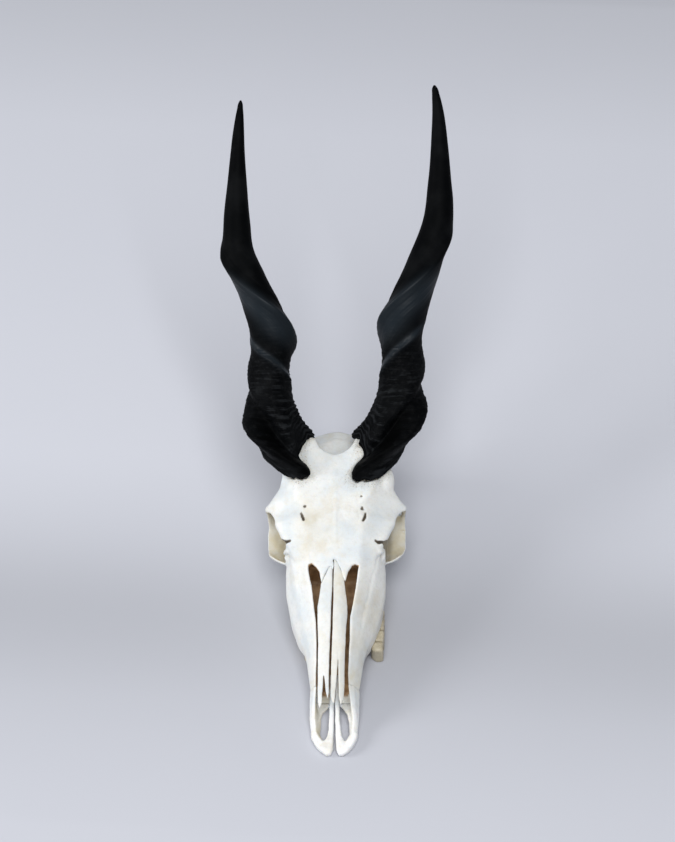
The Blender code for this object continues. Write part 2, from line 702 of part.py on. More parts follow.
def boolean(obj, other, operation):
    made = obj.modifiers.new(f"{operation.title()} {other.name}", "BOOLEAN")
    made.operation = operation
    made.object = other
    made.solver = "EXACT"


def tooth_box(side, front, back, outer, width, bottom, top, grow=0.0):
    """Middle and size of one tooth, on the given side of the skull."""
    if side < 0:
        outer -= 2 * PALATE_SHIFT
    centre = (side * (outer - width / 2), (front + back) / 2, (bottom + top) / 2)
    size = (width + 2 * grow, back - front + 2 * grow, top - bottom)
    return centre, size


def add_box(made, centre, size):
    """Adds a box to a bmesh, in the skull's frame."""
    new = bmesh.ops.create_cube(made, size=1.0)["verts"]
    for vertex in new:
        vertex.co = metres([c + v * s for c, v, s in zip(centre, vertex.co, size)])


def tooth_mesh(side, name, numbers):
    front, back, outer, width = numbers
    made = bmesh.new()
    add_box(made, *tooth_box(side, front + 0.3, back - 0.3, outer, width, 0, TOOTH_ROOT))
    bmesh.ops.bevel(
        made, geom=made.edges, offset=TOOTH_BEVEL * MM, segments=1, profile=0.5, affect="EDGES"
    )
    mesh = bpy.data.meshes.new(name)
    made.to_mesh(mesh)
    made.free()
    return mesh


def socket_mesh():
    """All tooth sockets, as one cutter of separate boxes."""
    made = bmesh.new()
    for side in (-1, 1):
        for front, back, outer, width in TEETH.values():
            box = tooth_box(
                side, front + 0.3, back - 0.3, outer, width, -4, TOOTH_ROOT + SOCKET_GAP, 0.29
            )
            add_box(made, *box)
    mesh = bpy.data.meshes.new("tooth_sockets")
    made.to_mesh(mesh)
    made.free()
    return mesh


def add_cranium(bone, collection, cutters, root):
    points, faces = cranium_field(CRANIUM_GRID).surface()
    cranium = place("cranium", mesh_of(shift_palate(points), faces, "cranium"), bone, collection, root)
    thin_out(cranium, CRANIUM_SHARE)
    for side, horn in HORNS.items():
        name = f"horn_core_{side}"
        boolean(cranium, helper(name, core_mesh(horn, name), cutters, root), "UNION")
    boolean(cranium, helper("tooth_sockets", socket_mesh(), cutters, root), "DIFFERENCE")


def add_small_bones(bone, collection, root):
    for name, plan in NASAL_PLANS.items():
        mesh = mesh_of(*nasal_field(plan, SMALL_BONE_GRID).surface(), name)
        thin_out(place(name, mesh, bone, collection, root), NASAL_SHARE)
    points, faces = premaxilla_field(SMALL_BONE_GRID).surface()
    for name, side in (("premaxilla_left", 1), ("premaxilla_right", -1)):
        mesh = mesh_of(points * [side, 1, 1], faces, name)
        thin_out(place(name, mesh, bone, collection, root), PREMAXILLA_SHARE)


def add_horns(keratin, collection, root):
    for side, horn in HORNS.items():
        name = f"horn_sheath_{side}"
        place(name, closed_loft(sheath_rings(horn), name), keratin, collection, root)


def add_teeth(enamel, collection, root):
    for side, word in ((1, "left"), (-1, "right")):
        for tooth, numbers in TEETH.items():
            name = f"{tooth}_{word}"
            place(name, tooth_mesh(side, name, numbers), enamel, collection, root)


def clear_scene():
    for obj in list(bpy.data.objects):
        bpy.data.objects.remove(obj, do_unlink=True)


def main():
    clear_scene()
    collection = bpy.data.collections.new("eland_skull")
    bpy.context.scene.collection.children.link(collection)
    cutters = bpy.data.collections.new("cutters")
    bpy.context.scene.collection.children.link(cutters)
    root = bpy.data.objects.new("eland_skull_root", None)
    collection.objects.link(root)
    bone = material("bleached_bone", (0.82, 0.80, 0.75), 0.6)
    keratin = material("black_keratin", (0.012, 0.012, 0.014), 0.38)
    enamel = material("tooth_enamel", (0.56, 0.5, 0.38), 0.45)
    add_cranium(bone, collection, cutters, root)
    add_small_bones(bone, collection, root)
    add_horns(keratin, collection, root)
    add_teeth(enamel, collection, root)


main()
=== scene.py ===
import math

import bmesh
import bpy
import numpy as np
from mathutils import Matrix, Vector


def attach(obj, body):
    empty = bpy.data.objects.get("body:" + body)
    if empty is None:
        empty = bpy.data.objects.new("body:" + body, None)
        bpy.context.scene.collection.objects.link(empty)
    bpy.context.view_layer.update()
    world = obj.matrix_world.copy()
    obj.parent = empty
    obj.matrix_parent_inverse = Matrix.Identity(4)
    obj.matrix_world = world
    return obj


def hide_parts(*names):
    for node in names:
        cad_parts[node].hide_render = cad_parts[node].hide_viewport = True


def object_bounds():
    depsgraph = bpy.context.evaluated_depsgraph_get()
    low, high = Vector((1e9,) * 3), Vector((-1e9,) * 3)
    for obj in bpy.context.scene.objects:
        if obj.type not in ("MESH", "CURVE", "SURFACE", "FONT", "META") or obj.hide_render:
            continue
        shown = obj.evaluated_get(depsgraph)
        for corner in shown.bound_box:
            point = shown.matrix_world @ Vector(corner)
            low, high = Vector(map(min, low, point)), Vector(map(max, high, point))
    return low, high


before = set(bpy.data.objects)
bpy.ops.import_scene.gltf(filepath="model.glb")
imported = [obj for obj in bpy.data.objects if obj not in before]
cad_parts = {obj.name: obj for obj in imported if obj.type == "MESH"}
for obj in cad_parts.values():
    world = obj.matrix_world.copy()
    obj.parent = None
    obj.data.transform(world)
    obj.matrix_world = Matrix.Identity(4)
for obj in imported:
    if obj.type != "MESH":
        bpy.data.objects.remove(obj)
CAD_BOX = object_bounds()

# Looks of the eland skull. The bones and teeth are modelled as fields on a fine grid: every bone is
# a named shape, the shapes are blended or carved, small relief is pressed in, and the zero surface
# becomes the mesh. The horn sheaths are lofts along a twisted axis with growth rings.
# The tables are in millimetres in the skull's own frame: X to the animal's left, Y backwards from
# the tips of the premaxillae, Z up from the surface that the skull rests on.

import openvdb
from mathutils import Matrix

MM = 0.001
TINY = 1e-9
FAR = np.float32(1e9)
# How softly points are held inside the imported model's box, in metres
BOX_EASE = 0.0006
# The object's origin, in the skull's frame
ORIGIN = (2.2, 365.4, 0.0)
SIDES = {"left": 1, "right": -1}

# Grids, how far from a surface a field counts, and the most triangles that the cranium keeps
CRANIUM_GRID = 1.25
SMALL_BONE_GRID = 0.7
TOOTH_GRID = 0.6
BAND = 8.0
CRANIUM_TRIANGLES = 190000

# The boxes of the fields: half a cranium, and a left premaxilla
HALF_SPACE = ((0, 50, -6), (126, 440, 214))
PREMAXILLA_SPACE = ((-2, -8, -4), (38, 108, 52))

# How far the parts of the cranium are softened: the frontal roof, the muzzle, the face behind
# it, from and to these distances from the tips, and at last the whole
ROOF_SOFTNESS = 2.0
MUZZLE_SOFTNESS = 1.2
FACE_SOFTNESS = 3.5
MUZZLE_FADE = (76, 140)
CRANIUM_SOFTNESS = 0.5
# How far round a place its hollows are felt out, for painted shade with a yellowish stain in them
CREASE_SPREAD = 3.0

# Ellipsoids: the cheekbone's bowl under the eye, the eye's socket, and the space for the brain
BOWL = ((58.5, 274.5, 80), (36.3, 38, 31))
SOCKET = ((84, 272.5, 99), (40, 33, 34.5))
SOCKET_MIDDLE = np.array([76, 271, 76])
# The front of the orbit, which leaves only a thin rim of the bowl, and how far in it reaches
ORBIT_FRONT = ((58.5, 265.5, 91.5), (33.6, 35.2, 28.2))
ORBIT_FRONT_SIDE = 63.5
BRAIN_SPACE = ((0, 358, 90), (44, 42, 32))

# Gaps between neighbouring pieces
SHEATH_GAP = 1.6
CORE_GAP = 2.0
SUTURE_GAP = 0.3
SOCKET_GAP = 0.3

# The face: half sections at distances from the tips, from the midline above, round the side,
# to the midline of the palate
FACE = {
    76: [(0, 46), (17, 46), (24, 41), (31, 30), (28, 16), (21, 12), (13, 14), (0, 14)],
    110: [(0, 66), (20, 65), (29, 56), (36, 38), (32, 19), (23, 14), (17, 17), (0, 17)],
    128: [(0, 75), (21, 73), (32, 62), (41, 42), (37, 19), (26, 14), (20, 20), (0, 21)],
    142: [(0, 82), (23, 80), (35, 68), (46, 44), (48, 18), (32, 15), (25, 23), (0, 24)],
    170: [(0, 96), (27, 93), (43, 77), (57, 50), (57, 22), (35, 18), (29, 27), (0, 28)],
    200: [(0, 108), (31, 105), (50, 88), (64, 58), (59, 22), (36, 18), (30, 28), (0, 29)],
    230: [(0, 119), (34, 117), (55, 101), (64, 74), (59, 25), (36, 19), (30, 29), (0, 30)],
    264: [(0, 129), (37, 127), (52, 112), (50, 80), (52, 30), (36, 22), (29, 31), (0, 32)],
}
FACE_ENDS = (58.0, 264.0)
# Where the face is cut off at the premaxillae
FACE_FRONT = 75.6

# The frontal bones and what they roof, in the same kind of half section
FRONTAL = {
    222: [(0, 116), (30, 115), (50, 103), (48, 92), (30, 84), (0, 80)],
    246: [(0, 126), (34, 125), (64, 114), (66, 106), (40, 92), (0, 70)],
    270: [(0, 135), (40, 133), (75, 118), (78, 110), (44, 98), (30, 62), (0, 46)],
    299: [(0, 144), (46, 142), (87, 114), (90, 105), (60, 97), (40, 72), (28, 44), (0, 40)],
    318: [(0, 149), (52, 146), (73, 124), (70, 112), (52, 97), (46, 65), (30, 44), (0, 40)],
    350: [(0, 154), (34, 156), (60, 152), (68, 132), (60, 112), (54, 88), (30, 60), (0, 60)],
    384: [(0, 156), (34, 162), (58, 158), (64, 138), (54, 116), (46, 96), (30, 90), (0, 90)],
}
FRONTAL_ENDS = (222.0, 376.0)
# Plan of the notch between the horns, where the frontal bones end above the braincase
NOTCH_SIDE = [(0, 357.2), (11, 358.4), (18.5, 363.8), (22.5, 374), (25.5, 392), (29, 440)]
CREST_NOTCH = [(-x, y) for x, y in NOTCH_SIDE[:0:-1]] + NOTCH_SIDE
CREST_NOTCH_FLOOR = 118.0
# The dish in the top of the braincase behind the notch
DISH = ((0, 386, 150), (27, 34, 23))

# The nasal cavity, which the wall of the face surrounds, and the opening above it
NASAL_CAVITY = {
    60: [(0, 48), (8, 46), (19, 29), (16, 20), (0, 20)],
    110: [(0, 60), (14, 56), (28, 40), (25, 24), (0, 22)],
    150: [(0, 80), (22, 76), (43, 50), (40, 34), (0, 32)],
    190: [(0, 100), (28, 96.5), (54, 60), (48, 40), (0, 38)],
    225: [(0, 111.5), (29, 109), (49, 78), (40, 50), (0, 44)],
}
NASAL_CAVITY_ENDS = (50.0, 228.0)
NOSE_OPENING = [
    (-28.4, 213.4), (-32.7, 212.7), (-32.3, 206), (-28.9, 191), (-27.1, 177.5), (-25.2, 162.7),
    (-22.8, 145.3), (-22.1, 125.5), (-22.2, 103.7), (-23, 77), (-23, 40), (17.6, 40), (17.4, 75.7),
    (16.6, 87), (17.7, 103), (18.7, 124), (19.5, 151), (23.2, 165.7), (26.3, 183), (27.4, 193),
    (29.4, 206.6), (30.6, 210.6), (26, 211.6), (22.1, 209.6), (17.4, 202.3), (15, 194), (13, 186),
    (-16.9, 186), (-17.2, 193), (-18.7, 202.4), (-23, 208.7),
]  # fmt: skip
NOSE_OPENING_TOP = {40: 140, 228: 140}
NOSE_OPENING_DEPTH = {40: 108, 80: 104, 110: 92, 150: 76, 228: 60}

# Plan of the palate in front of the face, between the premaxillae
PALATE_FRONT = [(-23.2, 92), (-23.2, 66.5), (23, 66.5), (23, 92)]
PALATE_TOP = {58: 14.2, 66: 14.6, 74: 17, 82: 20, 92: 20.4}
PALATE_THICKNESS = {58: 3.8, 92: 8}

# The nasal bones: plan outlines with their forks, and the height of their ridge
NASAL_PLANS = {
    "nasal_right": [
        (-1.7, 219), (-4.7, 212), (-9.1, 204), (-12.8, 197), (-16.7, 189), (-17.1, 185.5),
        (-18.6, 177), (-21.4, 163), (-21, 147), (-20.4, 124), (-20.5, 102), (-20.7, 64.4),
        (-20.4, 53), (-18, 45.3), (-15.5, 49.4), (-14.4, 62), (-13.8, 76), (-13, 90), (-11.7, 76),
        (-10.2, 62), (-7.9, 53.4), (-6.3, 62), (-6.4, 76), (-6, 100.5), (-5, 123), (-4.1, 145.5),
        (-3.5, 163), (-2.5, 180), (-2.2, 197.5),
    ],
    "nasal_left": [
        (-0.6, 219), (3.5, 214), (8.4, 204), (12.6, 193), (13.1, 187.5), (14.9, 176), (16.5, 161),
        (16.7, 153.5), (14.9, 139), (14.2, 123.5), (13.3, 101), (12.9, 75.7), (12.6, 64), (11.7, 55),
        (8, 46.3), (5.9, 58.5), (5.6, 70), (5.5, 91), (5.2, 108), (4, 91), (3.2, 79), (2.5, 70),
        (1.5, 58.5), (0.2, 48.3), (-2.4, 51.7), (-4, 58.6), (-3.9, 81.6), (-3.6, 101), (-2.5, 123),
        (-1.8, 146), (-1.3, 163), (-1, 180), (-1, 197),
    ],
}  # fmt: skip
NASAL_RIDGE = {45: 42, 100: 65, 160: 92.6, 186: 102.2, 219: 114}
NASAL_THICKNESS = {45: 2.6, 215: 3.2}
NASAL_ARCH = 0.012

# The premaxillae: the plan of the body in front with its inner bar, as distances from the midline,
# the heights of their upper side, their thickness, and the plan of the floor beside the hole
PREMAXILLA_PLANS = {
    "left": [
        (0.4, 98), (0.3, 60), (0.5, 38), (0.9, 26), (1.8, 13.5), (2.7, 2.5), (5, -2.8), (10, -3.6),
        (16.8, 1), (21.5, 6.5), (24.8, 12), (27, 18), (28.3, 25), (22, 25), (17.8, 21.5), (13.6, 14.5),
        (12, 15.5), (9.1, 21.6), (7.3, 31.6), (6, 42.4), (5.9, 55), (5.8, 98),
    ],
    "right": [
        (0.9, 98), (1, 60), (1.1, 47), (1.2, 30), (1.5, 14.3), (2.1, 3.7), (4.6, -2.6), (10, -3.6),
        (18.1, 3.5), (22.5, 8), (25.6, 13), (27.6, 19), (29, 26), (23, 26), (18, 20.5), (14.2, 14.6),
        (12.6, 15.2), (9.3, 21.7), (7.6, 30), (7, 42.4), (7, 98),
    ],
}  # fmt: skip
PREMAXILLA_TOP = {-4: 7.4, 2: 10.2, 10: 11.2, 20: 12, 30: 14, 40: 16.6, 60: 22.5, 98: 33}
PREMAXILLA_THICKNESS = {-4: 6, 4: 9.4, 14: 10, 24: 7, 40: 5.2, 98: 4.6}
PREMAXILLA_FLOORS = {
    "left": [(17.2, 40), (16.6, 44), (14.8, 51.3), (10.5, 58), (9, 60.2), (5, 64), (3, 65.4)],
    "right": [(17.5, 40), (17.3, 44.6), (15.2, 53.3), (10.3, 58.1), (7.5, 61.5), (3, 65)],
}
PREMAXILLA_FLOOR_BACK = [(3, 66.2), (24, 66.2), (24, 40)]
PREMAXILLA_FLOOR_HEIGHTS = (10.0, 14.2)
# Closed sections of the outer limb: up its inner side, over the ridge, down outside, underneath
PREMAXILLA_LIMBS = {
    "left": {
        16: [(14.5, 5), (15, 8), (19.5, 10.5), (21.5, 11),
             (25, 9), (26.9, 5.5), (24.5, 1.2), (15.5, 1.2)],
        25: [(18.3, 4.5), (18.3, 8), (21, 12.6), (23, 13.2),
             (26, 11.5), (28.9, 7.5), (26.5, 2.6), (19.5, 2)],
        38: [(17.6, 6.5), (17.9, 9.5), (22.2, 18.6), (24, 19.6),
             (27.3, 17), (29.9, 11), (27.5, 5.4), (18.8, 4.8)],
        46: [(19.5, 9), (20.5, 12), (20.8, 24), (22.2, 26.2),
             (26.8, 23.6), (30.4, 14.5), (28, 7.6), (20.5, 7)],
        60: [(23.5, 12), (24, 20), (18.8, 33.8), (19.6, 36),
             (25.6, 32.5), (31, 21.5), (28, 10.5), (24, 10)],
        76: [(24, 14.5), (26, 32), (16.8, 43.6), (17.4, 46),
             (24, 41.2), (31, 30.2), (28.2, 16), (24.5, 12.6)],
    },
    "right": {
        16: [(14.5, 5), (15, 8), (20.2, 10.5), (22, 11),
             (25.6, 9), (27.7, 5.5), (25, 1.2), (15.5, 1.2)],
        25: [(18, 4.5), (18.1, 8), (22, 12.6), (23.6, 13.2),
             (26.8, 11.5), (29.8, 7.5), (27, 2.6), (19.5, 2)],
        38: [(17.2, 6.5), (17.5, 9.5), (23.2, 18.2), (24.6, 19.2),
             (28, 17), (31.2, 11), (28, 5.4), (18.8, 4.8)],
        46: [(17.5, 9), (18.5, 12), (23.4, 23.2), (24.6, 24.6),
             (28.4, 22), (31.6, 14.5), (28.6, 7.6), (20.5, 7)],
        60: [(23.5, 12), (24.4, 20), (23, 31.5), (24, 33.4),
             (27.6, 30.6), (31.8, 21.5), (28, 10.5), (24, 10)],
        76: [(24, 14.5), (26.4, 32), (21.6, 40.6), (22.4, 42.8),
             (26.2, 39), (31, 30.2), (28.2, 16), (24.5, 12.6)],
    },
}  # fmt: skip
PREMAXILLA_LIMB_ENDS = (18.0, 82.0)
# Where the limb is cut off at the face; the inner bar goes on
PREMAXILLA_BACK = 75.2
PREMAXILLA_BAR_SIDE = 12.0

# The horns: the axis starts at the root and rises backwards; s runs along that rise.
# axis: distance from the midline; girth: radius without keels; turn: angle of the main keel from
# the inner side, over the front; keel and rib: heights of the two keels; rib_turn: the rib's
# angle; rim: where the sheath's edge lies along s, by the angle in degrees; lobes: bumps at
# (angle, s, width of angle, width along s, height)
HORN_RISE = math.radians(36.0)
HORN_ROOT = np.array([0.0, 356.0, 144.0])
HORN_ALONG = np.array([0, math.cos(HORN_RISE), math.sin(HORN_RISE)])
HORN_FRONT = np.array([0, -math.sin(HORN_RISE), math.cos(HORN_RISE)])
# The box round the left horn's base
HORN_BASE_BOX = ((12, 300, 90), (124, 450, 200))
HORNS = {
    "right": {
        "side": -1,
        "tip": 456,
        "axis": {-30: 50, 0: 66, 25: 73, 50: 77.5, 80: 84.5, 110: 85.4, 140: 81, 170: 85, 200: 95.5,
            230: 109.8, 260: 120.8, 300: 124, 350: 123.2, 400: 121.8, 456: 118},
        "girth": {-30: 25, 0: 27, 25: 28, 50: 26.6, 80: 26.6, 110: 26.8, 150: 25.3, 180: 25.8, 210: 23.3,
            240: 22.2, 270: 18.7, 300: 17.1, 330: 14.4, 360: 11.6, 390: 9.1, 420: 6.8, 445: 3.9, 453: 2.5,
            456: 1},
        "turn": {-30: 45, 0: 95, 25: 140, 55: 178, 80: 222, 110: 275, 150: 355, 172: 388, 185: 413,
            201: 447, 217: 478, 250: 532, 300: 590, 456: 680},
        "keel": {-30: 12, 0: 16, 25: 17, 45: 16, 60: 10, 80: 7, 110: 6, 150: 8, 180: 6, 210: 4, 240: 5,
            260: 6, 280: 3.5, 310: 1, 330: 0},
        "rib_turn": {-30: -80, 0: -55, 25: -25, 60: -15, 85: -8, 95: 5, 101: 25, 110: 55, 121: 88,
            131: 120, 140: 150, 152: 185, 175: 240, 220: 320},
        "rib": {-30: 8, 12: 17, 25: 21, 45: 10, 70: 4, 90: 3, 110: 5, 121: 5.5, 133: 4, 145: 2, 160: 1,
            190: 0},
        "rim": {0: 21, 7: 15.8, 17: 8.5, 26: 4.5, 31: 0, 35: -7, 40: -17, 44: -22, 53: -25.6, 71: -29,
            94: -28.5, 110: -26.5, 126: -23, 139: -15.5, 175: -6, 215: 4, 260: 12, 300: 17, 335: 22,
            360: 21},
        "lobes": [(38, -10, 0.33, 8.5, 9), (5, 21, 0.3, 9, 6), (50, -27, 0.25, 7, -4)],
    },
    "left": {
        "side": 1,
        "tip": 472,
        "axis": {-35: 36, 0: 57, 25: 66, 50: 74, 80: 82.6, 110: 87.6, 140: 86, 170: 87.6, 200: 97.5,
            230: 110, 260: 120.3, 300: 133.3, 350: 136, 400: 136, 440: 134.4, 472: 130.3},
        "girth": {-35: 25, 0: 27, 25: 28, 50: 27, 80: 26.5, 110: 27.6, 150: 25.6, 180: 28.2, 210: 26,
            240: 23.4, 270: 20.8, 300: 19.2, 330: 16.8, 360: 13.8, 390: 11.4, 420: 9, 445: 6.6, 460: 4.8,
            469: 3, 472: 1},
        "turn": {-35: 45, 0: 95, 25: 140, 60: 178, 80: 215, 110: 270, 150: 340, 180: 390, 210: 440,
            270: 530, 310: 590, 472: 680},
        "keel": {-35: 11, 0: 16, 25: 17, 50: 17, 70: 11, 85: 7, 110: 6, 150: 6, 200: 6, 240: 5, 270: 5,
            300: 2, 330: 0},
        "rib_turn": {-35: -80, 0: -55, 25: -25, 60: -15, 90: -8, 101: 5, 108: 25, 120: 55, 134: 88,
            146: 120, 158: 150, 172: 185, 195: 240, 220: 300},
        "rib": {-35: 8, 12: 17, 25: 22, 45: 10, 70: 4, 96: 3, 118: 5, 134: 5.5, 148: 4, 160: 2, 176: 1,
            200: 0},
        "rim": {0: 20, 9: 13, 20: 9, 29: 2.5, 33: -4, 36: -12, 39: -18, 43: -22, 52: -27, 66: -32,
            91: -32, 114: -31.5, 135: -29, 150: -22, 165: -15.5, 181: -11, 215: 2, 260: 12, 300: 17,
            335: 22, 360: 21},
        "lobes": [(36, -10, 0.33, 8.5, 10), (9, 15, 0.3, 9, 5), (52, -28, 0.25, 7, -5),
            (178, 24, 0.4, 11, 4)],
    },
}  # fmt: skip
HORN_GROOVE = {-40: 7, 0: 9, 30: 10, 48: 7, 65: 3.5, 90: 2.5, 130: 2, 200: 1.5, 280: 0}
HORN_SWAY = {-40: 0, 30: 2, 60: 6, 100: 8, 220: 8, 280: 3, 330: 0}
KEEL_WIDTH = {-40: 0.46, 200: 0.42}
RIB_WIDTH = 0.38
RIB_SHARPNESS = {60: 2.0, 110: 1.3}
# Where the smooth part of a sheath shines, as an angle from the keel
SHEEN_PLACE, SHEEN_WIDTH = 0.9, 0.8
GROOVE_PLACE, GROOVE_WIDTH = 0.85, 0.36
# The rim is a little ragged, as waves of (height, number round the horn, phase), and it is
# thinned and worn to a lip. From RIM_FADE on, the rings are level.
RIM_FADE = 70.0
RIM_WEAR = 0.4
LIP_DEPTH = 1.6
LIP_WIDTH = 3.0
RIM_WAVES = [(0.7, 9, 1.0), (0.5, 17, 2.0), (0.35, 29, 0.5)]
KEEL_SHARPNESS = {0: 2.1, 90: 2.0, 150: 1.6, 230: 1.5}
SHEATH_SIDES = 128
SHEATH_RING_STEP = 0.8
LAST_RINGS = (1.5, 0.8, 0.3, 0.0)
# The hollow inside a sheath, as shares of the girth and of the main keel, and the core in it
HOLLOW_GIRTH = {-40: 0.62, 60: 0.58, 160: 0.52, 250: 0.42}
HOLLOW_KEEL = 0.2
HOLLOW_BULGE_PLACE, HOLLOW_BULGE_WIDTH = 0.25, 0.6
HOLLOW_STATIONS = (240, 220, 200, 180, 150, 120, 90, 70, 50, 40, 30, 20, 10, 4, 0)
STUMP_ENDS = (-32.0, 50.0)
STUMP_ROUNDING = 8.0

# The relief of a sheath by s: the coarse rings, which are strong on the inner side only, the fine
# wrinkles, the streaks along the keels, and the flaky cracks of the lobe in front
COARSE_RINGS = {-30: 0.25, 10: 0.9, 60: 0.9, 90: 0.35, 150: 0.15, 200: 0.0}
FINE_RINGS = {-30: 0.5, 20: 0.7, 100: 0.6, 125: 0.5, 150: 0.25, 175: 0.1, 230: 0.0}
STREAKS = {90: 0.0, 130: 0.2, 200: 0.3, 250: 0.12, 290: 0.0}
FLAKES = {-30: 0.45, 20: 0.4, 45: 0.15, 70: 0.0}
# How strong and how wide the painted shade lies in the groove beside the keel
HOLLOW_SHADE, HOLLOW_SHADE_WIDTH = 1.8, 0.42
COARSE_SPACING = 8.0
FINE_SPACING = 1.9

# The cheek teeth: front and back, outer edge on the animal's left, and width, of each
TEETH = {
    "premolar_2": (136, 150, 60.0, 16),
    "premolar_3": (151, 167, 61.0, 18),
    "premolar_4": (168, 185, 61.2, 20),
    "molar_1": (186, 206, 60.4, 21),
    "molar_2": (207, 230, 58.6, 21.5),
    "molar_3": (231, 256, 56.5, 20.5),
}
TOOTH_ROOT = 27.0
TOOTH_ROUNDING = 3.4
# A tooth longer than this has two lobes
TWO_LOBES = 17.5
# The tooth rows lie further to the left than the rest of the skull does
PALATE_SHIFT = 9.5

# Small holes and notches of the cranium, as bars of (x, y, z, radius)
HOLES = [
    [(-42.2, 275, 130.4, 0.7), (-40.6, 270, 130.0, 1.15), (-38.8, 265.4, 128.4, 1.5)],
    [(-38.4, 283.2, 134.0, 0.95), (-37, 283, 134.2, 0.85)],
    [(38.7, 273, 130.8, 1.0), (38.4, 268, 130.0, 1.3), (36, 263.6, 128.8, 1.2)],
    [(33.9, 278.4, 133.6, 0.7), (34.7, 280.4, 134.0, 0.75), (35.9, 278.2, 133.4, 0.6)],
    [(33.7, 293.5, 140.0, 0.8), (33.9, 293.9, 138.4, 0.7)],
    [(-56, 244, 114.0, 0.9), (-60, 244.4, 109.6, 1.6), (-67, 249, 103, 2.6)],
    [(51.4, 242.4, 115.2, 0.8), (54.6, 241.6, 112.2, 1.3), (58, 243, 109.0, 1.6), (64, 247, 101, 3.4)],
]
HOLE_FLATTEN = (1, 1, 0.4)
# Fine lines pressed into the bone: their points, whether they are on both sides, width and depth
ONE, BOTH = (1,), (1, -1)
SCORES = [
    ([(54.4, 228.2, 100.6), (44.2, 188.7, 85), (33, 145, 69.8)], ONE, 2.4, 0.9),
    ([(-54, 226, 100), (-45, 190, 85)], ONE, 3.0, 0.5),
    ([(28.9, 279, 136), (30.6, 271.5, 133), (30.9, 263.8, 130), (27.1, 258.7, 129)], ONE, 1.1, 0.5),
    ([(52, 236, 112), (60, 224, 98), (63, 214, 82), (62, 220, 62), (58, 236, 48)], BOTH, 0.9, 0.5),
    ([(84, 258, 78), (66, 240, 68), (60, 205, 56), (56, 176, 48)], BOTH, 0.9, 0.45),
    ([(88, 312, 66), (80, 318, 64), (74, 330, 62)], BOTH, 0.8, 0.5),
    ([(58, 372, 112), (30, 392, 118), (0, 400, 124), (-30, 392, 118), (-58, 372, 112)], ONE, 0.9, 0.5),
    ([(67.7, 290.7, 73.9), (72.9, 290.1, 71.4), (78, 289.5, 69.9), (87, 289, 69)], ONE, 1.0, 1.2),
]
SCORE_WANDER = 1.6
# The ridge along the frontal suture: its X, where it starts and ends, and its height
MIDLINE_RIDGE = (1.5, 233, 317, 0.55)
# The swelling behind the left horn
LEFT_SWELLING = ((64.5, 328, 128), (10.5, 18, 12.5))
# Spurs and knobs of bone, in the form of the holes
SPURS = [
    [(-59, 238, 101, 4.0), (-63, 240, 96, 2.6), (-65.5, 241, 91, 1.4)],
    [(-61, 238, 84, 2.6), (-65.5, 240, 84.6, 1.0)],
    [(56, 234, 104, 4.2), (59.5, 238, 99, 3.6)],
    [(58.5, 235, 86, 2.6), (62.8, 238.5, 88, 0.9)],
]

# Yellower patches of the bone in plan, partly weathering and partly painted shade: (x, y, radius, share)
STAIN_AND_SHADE_PATCHES = [
    (-30, 262, 16, 0.7), (-36, 240, 13, 0.65), (-20, 245, 16, 0.4), (34, 262, 14, 0.35),
    (-34, 284, 12, 0.4), (-4, 250, 22, 0.25), (38, 165, 24, 0.55),
    (31, 120, 20, 0.5), (25, 84, 18, 0.6), (-30, 120, 14, 0.12), (-40, 340, 16, 0.25),
]  # fmt: skip
# How yellow the nasal bones are, partly as painted shade, and how tan the premaxillae's inner walls
NASAL_TAN_AND_SHADE = {"nasal_left": 0.42, "nasal_right": 0.16}
PREMAXILLA_TAN = {"left": 0.32, "right": 0.9}
# A hair-thin crack behind the left horn, in the form of the holes
HAIR_CRACK = [(73, 300, 131, 0.3), (76, 295, 128, 0.3), (78, 292, 126, 0.3), (82, 283, 119, 0.3)]
# Where the muzzle is bleached whitest, along Y of the object, in metres
BLEACHED = (-0.335, -0.30)

# The finishes' colours, and what else is the same all over the bone
# The crease colour is painted shade in the hollows, with a yellowish stain
BONE = {
    "white": (0.79, 0.80, 0.78), "cool": (0.68, 0.725, 0.745), "bleached": (0.93, 0.93, 0.92),
    "warm": (0.69, 0.645, 0.54), "grain": (0.56, 0.54, 0.48), "speck": (0.42, 0.33, 0.22),
    "porous": (0.55, 0.53, 0.46), "pit": (0.30, 0.26, 0.20), "crease_shade_and_stain": (0.70, 0.62, 0.48),
    "tan": (0.56, 0.50, 0.35), "pale_tan": (0.62, 0.59, 0.50), "brown": (0.26, 0.145, 0.065),
    "pale_brown": (0.56, 0.36, 0.19), "dark": (0.05, 0.038, 0.025), "pale_dark": (0.17, 0.14, 0.10),
}  # fmt: skip
BONE_SHADER = {
    "Subsurface Weight": 0.12,
    "Subsurface Radius": (0.004, 0.003, 0.002),
    "Subsurface Scale": 0.5,
    "Specular IOR Level": 0.4,
}
# crest: painted highlight and paler worn rim; hollow: painted shade in the groove; sheen: painted sheen
KERATIN = {
    "black": (0.0012, 0.0015, 0.0019), "grey": (0.0044, 0.0049, 0.0055),
    "sheen": (0.009, 0.0135, 0.018), "dust": (0.012, 0.0125, 0.013),
    "crest": (0.0155, 0.0172, 0.019), "flake": (0.06, 0.057, 0.05), "hollow": (0.0004, 0.0005, 0.0006),
}  # fmt: skip
ENAMEL = {"clean": (0.50, 0.45, 0.33), "stained": (0.37, 0.315, 0.215), "streak": (0.66, 0.60, 0.47)}
FLOOR = {"cool": (0.60, 0.615, 0.675), "pale": (0.62, 0.635, 0.69)}

# The floor, in metres: half its side, its shade by the distance behind the skull's middle, where
# the shading starts and how deep it is, and the band's slant
FLOOR_REACH = 6
FLOOR_SHADE = [
    (-0.48, 0.91), (-0.3, 0.83), (-0.17, 0.66), (-0.06, 0.88),
    (0.06, 1.0), (0.25, 1.06), (0.6, 1.08), (0.98, 0.82),
]  # fmt: skip
FLOOR_START, FLOOR_DEPTH = -0.5, 1.5
FLOOR_SLANT = 0.08

